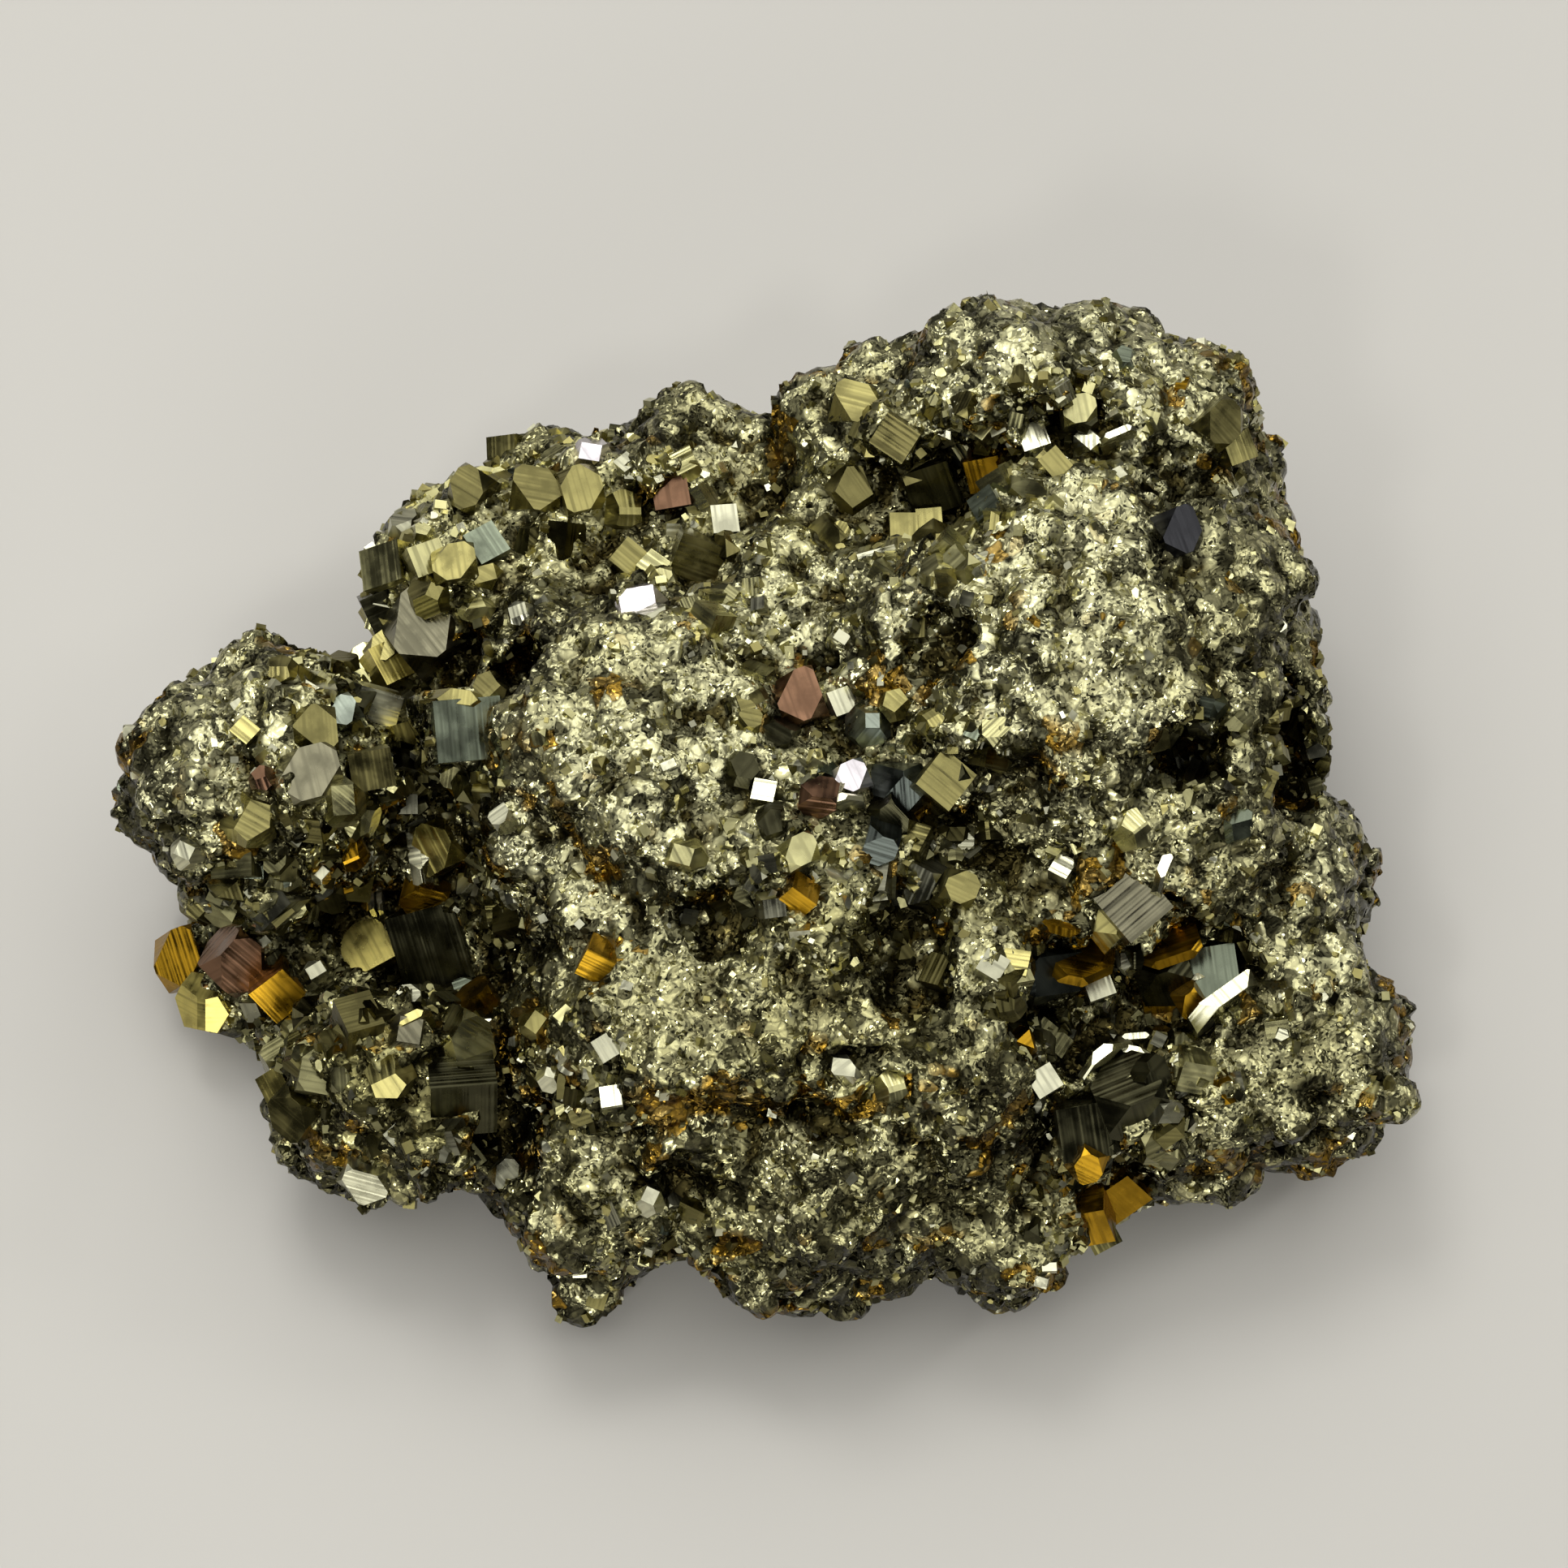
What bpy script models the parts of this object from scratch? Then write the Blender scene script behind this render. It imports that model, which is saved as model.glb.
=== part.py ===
"""A hand specimen of massive pyrite: one grown lump of rounded knobs and ledges, with pits
that are lined with well-formed crystals. X runs along its length, Y from its front edge to
its back edge, and Z up from the broken underside that it rests on. Lengths are in millimetres
until the mesh is made, and metres from there."""

import math

import bmesh
import bpy
import numpy as np
from mathutils import Euler, Matrix, Vector
from mathutils.bvhtree import BVHTree

MM = 0.001

# Rounded masses that the lump is grown from: centre x, y, z and half lengths x, y, z.
LUMPS = {
    "dome_left": ((-7, 1, 15), (13.5, 12, 14)),
    "dome_right": ((17, 7, 17), (15.5, 15, 16)),
    "middle": ((4, 8, 12), (16, 13, 14)),
    "centre": ((1.5, -6.5, 14.5), (16, 12, 12.5)),
    "underside": ((4, -2, 6), (26, 20, 10)),
    "back_foot": ((15, 15, 6), (15, 11, 8)),
    "front_slope": ((-3, -14, 12), (13, 10, 12)),
    "front_right_slope": ((10, -12, 12), (11, 12, 13)),
    "brow": ((21.5, -4, 17), (10.5, 8.5, 10)),
    "crown": ((17, 21.5, 20), (12, 9.5, 12)),
    "crown_left": ((7, 21.5, 17), (8.5, 8, 10)),
    "crown_corner": ((26, 19, 19), (6.5, 9.5, 10)),
    "back_peak": ((-4.5, 21.5, 15), (5.5, 6.5, 8)),
    "shelf": ((-12, 17, 12), (9, 9.5, 9)),
    "shelf_left": ((-18, 15.5, 12), (6.5, 8, 8.5)),
    "shelf_lump": ((-12, 9.5, 15), (5.5, 5, 8)),
    "knob": ((-30, 2.2, 14), (9.2, 9, 9)),
    "knob_neck": ((-20, 2, 10), (9, 7, 9)),
    "foot_block": ((-29, -6.5, 4.5), (7, 5.5, 5)),
    "left_paw": ((-22.5, -15.5, 8), (8, 7.5, 8)),
    "front_left": ((-10, -21.5, 7), (7, 7, 8)),
    "front_middle": ((2.5, -22, 8), (8.5, 8, 9)),
    "front_right": ((14.5, -22.5, 7), (5.5, 7, 7)),
    "ledge": ((24, -13, 9), (13, 10, 10)),
    "ledge_corner": ((31.5, -12.5, 9), (7.7, 9, 10)),
    "right_flank": ((29, -4, 11), (8, 9, 12)),
    "right_shoulder": ((26, 8, 16), (8.5, 15, 14)),
}

# Pits between the masses, where crystals had room to grow: centre and half lengths.
PITS = {
    "middle_pit": ((5, 0, 30), (6, 3.5, 3.8)),
    "middle_pit_end": ((9.5, 4, 29.5), (2.5, 2.5, 3.5)),
    "brow_pit": ((20, -15, 20), (6.5, 4, 5)),
    "brow_pit_right": ((24.5, -12.5, 19), (4.5, 3, 4)),
    "crown_pit": ((9.5, 15.5, 27.5), (5.5, 2.8, 5)),
    "crown_pit_end": ((18, 18, 31), (5, 2, 2.5)),
    "knob_gap": ((-19.5, -6, 17), (3.8, 8, 6.5)),
    "shelf_pit": ((-14.5, 4.5, 22), (2.5, 2.5, 4)),
    "shelf_groove": ((-5, 13, 22.5), (5, 2, 2.5)),
    "paw_gap": ((-15.5, -19, 13), (2.2, 4, 5)),
    "front_pit": ((-3, -11, 25), (1.6, 1.6, 3.5)),
    "front_valley": ((8.5, -14, 24), (1.5, 5, 3)),
    "brow_hole": ((24.5, -2, 26.5), (2.2, 2.2, 3)),
    "flank_groove": ((31, 1, 21), (1.6, 5, 3)),
    "arch_left": ((-15, -26, -1), (6, 7, 5)),
    "arch_front": ((-4, -28, -1), (2.5, 7, 4)),
    "arch_right": ((9, -29, -1), (3, 7, 4)),
    "arch_back": ((0, 27, -2), (14, 8, 6)),
    "arch_knob": ((-36, 1, 1), (12, 7, 5)),
    "under_left": ((-10, 5, -2), (8, 6, 4)),
    "under_front": ((3, -14, -2), (7, 5, 3.5)),
    "under_right": ((24, 3, -2), (6, 8, 4)),
}

VOXEL = 0.8  # grid that the masses are fused on
BODY_SHARE = 0.083  # share of the fused skin's triangles that is kept
SWELL_SIZE, SWELL_RISE = 8.0, 2.4  # broad swellings over the masses
CLUMP_SIZE, CLUMP_RISE = 3.8, 1.6  # clumps of grains on the swellings
REST_CUT = 0.0  # height that the broken underside is level at

# Crystal habits. Cube faces sit at 1 from the centre; these are the distances of the faces
# across its corners (octahedron) and along its edges (pyritohedron), where it has them.
HABITS = {
    "cube": (None, None),
    "clipped": (1.30, None),
    "pyritohedron": (None, 0.89),
    "octahedron": (0.92, None),
}

# Large crystals. Each is sighted from above the front edge, along a line LEAN degrees off the
# vertical: x and v across that line, half width, habit, then how far its top face turns
# right and up from the line, and its spin about it.
LEAN = 25.0
CRYSTALS = {
    "shelf": [
        (-20.1, 10.1, 2.1, "clipped", -5, 20, 40), (-18.5, 13.9, 1.3, "clipped", 0, 15, 10),
        (-10.4, 20.6, 1.4, "cube", -10, 25, 35), (-8.4, 17.3, 1.3, "pyritohedron", 15, 10, 0),
        (-17.4, 18.4, 1.3, "clipped", -15, 10, 60), (-7.8, 11.6, 1.4, "cube", 25, 10, 30),
        (-4.0, 14.7, 1.4, "cube", 5, -15, 70), (-19.8, 12.4, 1.4, "octahedron", 10, 5, 20),
        (-22.3, 13.9, 1.3, "cube", -30, 10, 15), (-13.5, 18.6, 1.2, "clipped", 0, 20, 80),
    ],
    "knob": [
        (-28.1, 0.9, 2.0, "octahedron", -5, 20, 15), (-30.7, -1.2, 2.1, "pyritohedron", -10, -5, 65),
        (-25.4, -0.1, 1.4, "octahedron", 10, 0, 50), (-27.0, 9.2, 1.4, "clipped", 0, 25, 35),
        (-22.4, 8.2, 1.3, "cube", 20, 15, 25), (-23.4, 5.6, 1.3, "cube", 15, -10, 75),
        (-26.7, 4.0, 1.3, "clipped", 5, 15, 5), (-23.6, 2.0, 1.2, "cube", 10, -5, 10),
    ],
    "gap": [
        (-18.0, 4.3, 2.4, "cube", 10, 5, 5), (-16.4, 6.4, 1.2, "pyritohedron", 0, 10, 45),
        (-20.6, -4.0, 1.7, "cube", 20, -10, 10), (-19.5, -3.0, 1.4, "clipped", -20, 0, 30),
        (-20.3, -5.8, 1.3, "clipped", 0, -25, 75), (-23.4, -8.7, 2.2, "pyritohedron", 0, -20, 30),
        (-19.4, -8.6, 2.4, "cube", -15, -10, 15),
    ],
    "foot_block": [
        (-35.0, -9.6, 1.7, "clipped", -30, 0, 20), (-31.7, -9.6, 2.0, "cube", 10, -15, 50),
        (-33.2, -12.2, 2.0, "clipped", -20, -30, 80), (-28.9, -11.3, 1.3, "cube", 5, -25, 40),
    ],
    "left_paw": [
        (-21.6, -14.0, 2.2, "cube", 0, 10, 35), (-18.0, -14.7, 1.7, "clipped", 25, -5, 60),
        (-18.4, -17.2, 2.0, "cube", 0, -10, 5), (-22.3, -16.7, 1.4, "pyritohedron", -15, 0, 25),
        (-28.0, -18.8, 1.3, "clipped", -25, -15, 50), (-19.0, -20.6, 2.0, "cube", 20, -30, 20),
        (-23.8, -22.6, 1.3, "clipped", 0, -35, 70), (-17.1, -12.3, 1.2, "clipped", 10, -20, 35),
    ],
    "middle_pit": [
        (2.4, 6.0, 1.4, "octahedron", -15, -10, 20), (6.5, 4.5, 1.6, "clipped", 10, -10, 45),
        (5.5, 1.1, 1.2, "cube", 20, 10, 25), (3.6, 0.1, 1.3, "clipped", -10, -15, 80),
        (10.7, 1.1, 1.7, "cube", 30, 5, 50), (8.3, 0.6, 1.8, "octahedron", 0, -20, 5),
        (11.6, -5.3, 1.2, "cube", 15, 15, 65), (-4.7, -3.5, 1.3, "cube", -20, 10, 30),
    ],
    "crown_pit": [
        (10.2, 19.3, 1.5, "cube", 0, -30, 20), (8.1, 21.9, 1.7, "clipped", -20, -20, 55),
        (5.4, 18.6, 1.6, "pyritohedron", 25, -15, 35), (5.7, 23.7, 1.5, "cube", -10, 20, 75),
        (25.0, 16.0, 1.7, "cube", 10, 5, 0), (27.3, 22.5, 1.3, "clipped", 15, 0, 45),
        (18.9, 23.2, 1.2, "octahedron", 0, 15, 10), (22.1, 21.7, 1.2, "cube", 15, -15, 60),
    ],
    "brow_pit": [
        (21.6, -6.6, 2.5, "cube", 5, -5, 45), (18.2, -7.2, 1.4, "clipped", -25, -35, 70),
        (24.5, -9.4, 1.9, "clipped", 10, -40, 25), (18.0, -9.2, 1.5, "octahedron", -10, -45, 55),
        (27.5, -10.6, 1.5, "cube", -15, 10, 10), (28.0, -12.6, 1.7, "cube", -35, 20, 40),
        (20.1, -16.3, 1.6, "clipped", 15, 30, 75), (22.0, -17.7, 2.0, "cube", 0, 5, 30),
        (19.4, -19.6, 1.5, "cube", 5, -10, 10), (16.7, -10.1, 1.9, "clipped", 35, -10, 50),
        (21.3, -23.3, 1.3, "cube", 10, -35, 45), (19.4, -24.6, 1.4, "cube", -5, -40, 15),
    ],
    "front": [
        (-10.2, -29.0, 1.9, "clipped", -10, -30, 30), (5.0, -16.3, 1.4, "cube", -15, 15, 55),
        (-6.8, -24.1, 1.2, "cube", 20, -10, 20), (28.3, -1.6, 1.2, "octahedron", 20, -15, 60),
        (22.3, -1.9, 1.3, "pyritohedron", 15, 10, 35),
    ],
}

# Large crystals that face away from the sighting line: x, y, z to start from, and half width.
BACK_CRYSTALS = [
    (20, 34, 14, 2.0), (11, 33, 9, 1.6), (27, 30, 8, 1.8), (-4, 31, 9, 1.7), (-13, 28, 7, 2.1),
    (-22, 24, 6, 1.6), (36, 14, 14, 1.8), (35, 20, 7, 1.5), (38, 3, 8, 1.7), (42, -10, 6, 1.4),
    (-37, 12, 9, 1.8), (-30, 14, 13, 1.6), (-42, 0, 13, 1.4),
]

# Smaller crystals, strewn over the skin: how many, and their half widths.
STREWN = 48
STREWN_HALF = (0.8, 1.5)


def balls_mesh(name, balls):
    """One mesh that holds an ellipsoid for each (centre, half lengths)."""
    mesh = bpy.data.meshes.new(name)
    shell = bmesh.new()
    for centre, radii in balls:
        place = Matrix.Translation(Vector(centre)) @ Matrix.Diagonal(Vector(radii)).to_4x4()
        bmesh.ops.create_icosphere(shell, subdivisions=4, radius=1.0, matrix=place)
    shell.to_mesh(mesh)
    shell.free()
    mesh.transform(Matrix.Scale(MM, 4))
    return mesh


def add_object(name, mesh):
    thing = bpy.data.objects.new(name, mesh)
    bpy.context.scene.collection.objects.link(thing)
    return thing


def voxel_fuse(thing, name):
    """Fuses overlapping or cut shells of an object into one even skin."""
    fuse = thing.modifiers.new(name, "REMESH")
    fuse.mode = "VOXEL"
    fuse.voxel_size = VOXEL * MM


def raise_bumps(thing, name, size, rise):
    """Swells the skin into rounded cells with creases between them."""
    cells = bpy.data.textures.new(name, "VORONOI")
    cells.noise_scale = size * MM
    bumps = thing.modifiers.new(name, "DISPLACE")
    bumps.texture = cells
    bumps.texture_coords = "LOCAL"
    bumps.mid_level = 0.35
    bumps.strength = -rise * MM


def carve(thing, name, tool, operation):
    """Joins a tool to an object or takes it away, and keeps the tool out of sight."""
    cut = thing.modifiers.new(name, "BOOLEAN")
    cut.operation = operation
    cut.solver = "EXACT"
    cut.object = tool
    tool.hide_render = True
    tool.display_type = "WIRE"
    return cut


def settle(thing):
    """The object's mesh with its modifiers worked in."""
    bpy.context.view_layer.update()
    mesh = bpy.data.meshes.new_from_object(
        thing.evaluated_get(bpy.context.evaluated_depsgraph_get()))
    thing.modifiers.clear()
    thing.data = mesh
    return mesh


def keep_main_shell(mesh):
    """Drops sealed hollows and crumbs, and leaves the one big shell."""
    work = bmesh.new()
    work.from_mesh(mesh)
    bmesh.ops.triangulate(work, faces=work.faces)
    bmesh.ops.remove_doubles(work, verts=work.verts, dist=0.002 * MM)
    left, shells = set(work.verts), []
    while left:
        shell, edge = set(), [left.pop()]
        while edge:
            vert = edge.pop()
            shell.add(vert)
            near = {e.other_vert(vert) for e in vert.link_edges} & left
            left -= near
            edge.extend(near)
        shells.append(shell)
    main = max(shells, key=len)
    bmesh.ops.delete(work, geom=[v for v in work.verts if v not in main], context="VERTS")
    work.to_mesh(mesh)
    work.free()


def face_normals(habit):
    """(unit normal, distance) of each octahedron and pyritohedron face of a habit."""
    corner_cut, edge_cut = HABITS[habit]
    signs = [(a, b) for a in (-1, 1) for b in (-1, 1)]
    corners = [(a, b, c) for a, b in signs for c in (-1, 1)]
    edges = [n for a, b in signs for n in ((a, 2 * b, 0), (0, a, 2 * b), (2 * b, 0, a))]
    return ([(Vector(n).normalized(), corner_cut) for n in corners if corner_cut]
            + [(Vector(n).normalized(), edge_cut) for n in edges if edge_cut])


def crystal_form(habit):
    """A crystal with cube faces at 1 from its centre, clipped by its other faces."""
    form = bmesh.new()
    bmesh.ops.create_cube(form, size=2.0)
    for normal, distance in face_normals(habit):
        cut = bmesh.ops.bisect_plane(
            form, geom=form.verts[:] + form.edges[:] + form.faces[:],
            plane_co=normal * distance, plane_no=normal, clear_outer=True)
        rim = [part for part in cut["geom_cut"] if isinstance(part, bmesh.types.BMEdge)]
        if len(rim) > 2:
            bmesh.ops.edgeloop_fill(form, edges=rim)
    bmesh.ops.recalc_face_normals(form, faces=form.faces)
    mesh = bpy.data.meshes.new(habit)
    form.to_mesh(mesh)
    form.free()
    return mesh


def crystal_places(body_skin):
    """(habit, matrix) of each large crystal, set half its half width into the skin."""
    skin = BVHTree.FromBMesh(body_skin)
    tip = math.radians(90 - LEAN)
    right = Vector((1, 0, 0))
    up = Vector((0, math.sin(tip), math.cos(tip)))
    sight = Vector((0, -math.cos(tip), math.sin(tip)))
    frame = Matrix((right, up, sight)).transposed()
    middle = Vector((0, 0, 16))
    places = []
    for group in CRYSTALS.values():
        for x, v, half, habit, turn, rise, spin in group:
            start = middle + right * x + up * v + sight * 60
            hit = skin.ray_cast(start * MM, -sight)[0]
            if hit is None:
                continue
            turned = (frame @ Euler((math.radians(-rise), math.radians(turn), 0)).to_matrix()
                      @ Matrix.Rotation(math.radians(spin), 3, "Z"))
            at = hit / MM - sight * half * 0.5
            places.append((habit, Matrix.LocRotScale(at, turned, Vector((half,) * 3))))
    rng = np.random.default_rng(12)
    for x, y, z, half in BACK_CRYSTALS:
        hit, normal = skin.find_nearest(Vector((x, y, z)) * MM)[:2]
        habit = list(HABITS)[rng.integers(len(HABITS))]
        turned = Euler(rng.uniform(-3, 3, 3)).to_matrix()
        at = hit / MM - normal * half * 0.5
        places.append((habit, Matrix.LocRotScale(at, turned, Vector((half,) * 3))))
    faces = body_skin.faces[:]
    areas = np.array([face.calc_area() for face in faces])
    for index in rng.choice(len(faces), STREWN, replace=False, p=areas / areas.sum()):
        half = rng.uniform(*STREWN_HALF)
        turned = Euler(rng.uniform(-3, 3, 3)).to_matrix()
        at = faces[index].calc_center_median() / MM - faces[index].normal * half * 0.2
        places.append(("cube" if rng.random() < 0.7 else "pyritohedron",
                       Matrix.LocRotScale(at, turned, Vector((half,) * 3))))
    return places


for thing in list(bpy.data.objects):
    bpy.data.objects.remove(thing)

# The grown mass, with its pits, swellings and clumps.
body = add_object("pyrite_specimen", balls_mesh("masses", LUMPS.values()))
pits = add_object("pits", balls_mesh("pits", PITS.values()))
voxel_fuse(pits, "fuse")
voxel_fuse(body, "fuse")
carve(body, "hollow", pits, "DIFFERENCE")
voxel_fuse(body, "even_out")
ease = body.modifiers.new("ease", "SMOOTH")
ease.iterations = 2
raise_bumps(body, "swellings", SWELL_SIZE, SWELL_RISE)
raise_bumps(body, "clumps", CLUMP_SIZE, CLUMP_RISE)
voxel_fuse(body, "part_folds")
thin = body.modifiers.new("thin", "DECIMATE")
thin.ratio = BODY_SHARE
keep_main_shell(settle(body))

# Large crystals grown out of it, and the level underside.
skin = bmesh.new()
skin.from_mesh(body.data)
places = crystal_places(skin)
skin.free()
forms = {habit: crystal_form(habit) for habit in HABITS}
cluster = bmesh.new()
for habit, place in places:
    grown = forms[habit].copy()
    grown.transform(place)
    cluster.from_mesh(grown)
cluster_mesh = bpy.data.meshes.new("crystals")
cluster.to_mesh(cluster_mesh)
cluster.free()
cluster_mesh.transform(Matrix.Scale(MM, 4))
crystals = add_object("crystals", cluster_mesh)
carve(body, "grow_crystals", crystals, "UNION").use_self = True

ground_mesh = bpy.data.meshes.new("ground")
ground = bmesh.new()
bmesh.ops.create_cube(ground, size=1.0, matrix=Matrix.Translation((0, 0, REST_CUT * MM - 0.05))
                      @ Matrix.Diagonal((0.2, 0.2, 0.1, 1)))
ground.to_mesh(ground_mesh)
ground.free()
carve(body, "level_underside", add_object("ground", ground_mesh), "DIFFERENCE")

# One closed solid, moved so that the middle of its box stands on the origin.
specimen = settle(body)
keep_main_shell(specimen)
corners = np.array([vert.co for vert in specimen.vertices])
low, high = corners.min(axis=0), corners.max(axis=0)
specimen.transform(Matrix.Translation((-(low[0] + high[0]) / 2, -(low[1] + high[1]) / 2, -low[2])))
specimen.shade_flat()

pyrite = bpy.data.materials.new("pyrite")
pyrite.use_nodes = True
look = pyrite.node_tree.nodes["Principled BSDF"].inputs
look["Base Color"].default_value = (0.42, 0.36, 0.23, 1)
look["Metallic"].default_value = 1.0
look["Roughness"].default_value = 0.32
specimen.materials.clear()
specimen.materials.append(pyrite)
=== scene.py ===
"""A hand specimen of massive pyrite: the grown lump itself, the grains of its skin, and the
well-formed crystals that line its pits. Lengths are millimetres in the frame's own axes, and
become metres where a mesh, light or camera is made."""

import math

import bmesh
import bpy
import numpy as np
from mathutils import Matrix, Vector
from mathutils.bvhtree import BVHTree


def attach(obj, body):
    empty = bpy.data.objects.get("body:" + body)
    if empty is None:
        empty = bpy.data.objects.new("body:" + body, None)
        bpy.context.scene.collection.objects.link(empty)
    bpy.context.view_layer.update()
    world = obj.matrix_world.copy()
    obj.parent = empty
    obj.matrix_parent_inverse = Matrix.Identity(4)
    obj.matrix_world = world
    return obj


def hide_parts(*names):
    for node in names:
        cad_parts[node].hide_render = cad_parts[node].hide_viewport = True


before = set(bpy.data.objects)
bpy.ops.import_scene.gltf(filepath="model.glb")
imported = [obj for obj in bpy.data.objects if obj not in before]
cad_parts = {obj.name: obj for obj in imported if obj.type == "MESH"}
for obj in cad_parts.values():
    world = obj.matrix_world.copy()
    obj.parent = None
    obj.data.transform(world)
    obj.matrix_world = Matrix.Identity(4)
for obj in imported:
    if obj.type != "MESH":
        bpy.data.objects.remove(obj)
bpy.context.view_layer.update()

# ---------------------------------------------------------------------------------------
# The view. A long lens looks down on the lump from above its front edge. It comes first,
# because the large crystals below are placed by how far right of and above the lump's
# middle they stand in this view.
MM = 0.001
MIDDLE = np.array((0.145, -0.494, 16.0))
VIEW_TILT = 65.0  # degrees above the table
VIEW_REACH = 263.4  # from the aim to the eye
AIM = np.array((1.27, 0.93))  # right of and above the middle
LENS, SENSOR = 100.6, 36.0
NEAREST = 10.0  # the lens sees nothing nearer

tilt = math.radians(VIEW_TILT)
RIGHT = np.array((1.0, 0.0, 0.0))
UP = np.array((0.0, math.sin(tilt), math.cos(tilt)))
SIGHT = np.array((0.0, -math.cos(tilt), math.sin(tilt)))
EYE = MIDDLE + AIM[0] * RIGHT + AIM[1] * UP + VIEW_REACH * SIGHT

lens = bpy.data.cameras.new("view")
lens.lens, lens.sensor_width = LENS, SENSOR
lens.clip_start = NEAREST * MM
view = bpy.data.objects.new("view", lens)
view.matrix_world = (Matrix.Translation(EYE * MM)
                     @ Matrix((RIGHT, UP, SIGHT)).transposed().to_4x4())
bpy.context.scene.collection.objects.link(view)
bpy.context.scene.camera = view

# ---------------------------------------------------------------------------------------
# The large crystals. Cubes, clipped cubes, octahedra, pyritohedra and thin blades up to five
# millimetres wide that grew freely into the pits and on the knobs, with flat faces and crisp
# edges. Most are as pale as the lump; a few have tarnished grey or violet, or rusted. The
# black ones are painted shade in the dark gaps and a painted dark reflection on faces that
# lean away from the light. The ochre ones are partly limonite stain and partly a painted
# warm reflection on faces that lean down.
HABITS = {
    # distances from the centre of the octahedron's and the pyritohedron's faces and of the
    # second pair of cube faces, where the other cube faces sit at 1
    "cube": (None, None, 1),
    "clipped": (1.32, None, 1),
    "pyritohedron": (None, 0.89, 1),
    "octahedron": (0.92, None, 1),
    "blade": (1.0, None, 0.2),
    "slab": (1.05, None, 0.5),
}
# Of these colours, ochre is partly limonite stain and partly a painted warm reflection on faces
# that lean down, and black is painted shade and a painted dark reflection.
COLOURS = {
    "fresh": "#b7b27f", "silver": "#c8c6a8", "olive": "#98905a", "dull": "#7b7448",
    "ochre": "#a8811f", "rust": "#80614a", "grey": "#827e66", "slate": "#79806c",
    "steel": "#939b8c", "teal": "#4a4f49", "lilac": "#dbd5d6", "black": "#464430",
    "violet": "#3e3e40", "gold": "#c2b466",
}
UNEVEN = 0.16  # how much nearer or farther than its habit a face may have grown
VARIANTS = 8  # unevenly grown forms of each habit
EDGE = 0.06  # width of the wear along the edges
LARGE = 1.2  # half width from which the CAD solid has a form for most of them
PROUD = 0.3  # how far a large crystal stands out past its CAD form
SET_IN = 0.75  # of its half width, where the CAD solid has no form for the crystal
UNLIKE = 0.06, 0.16  # how much lighter or darker crystals of one colour are: large, others
OUTSIDE = 60.0  # from the middle to well outside the lump
LOWEST = 0.012  # no corner of a crystal is nearer the table
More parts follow.
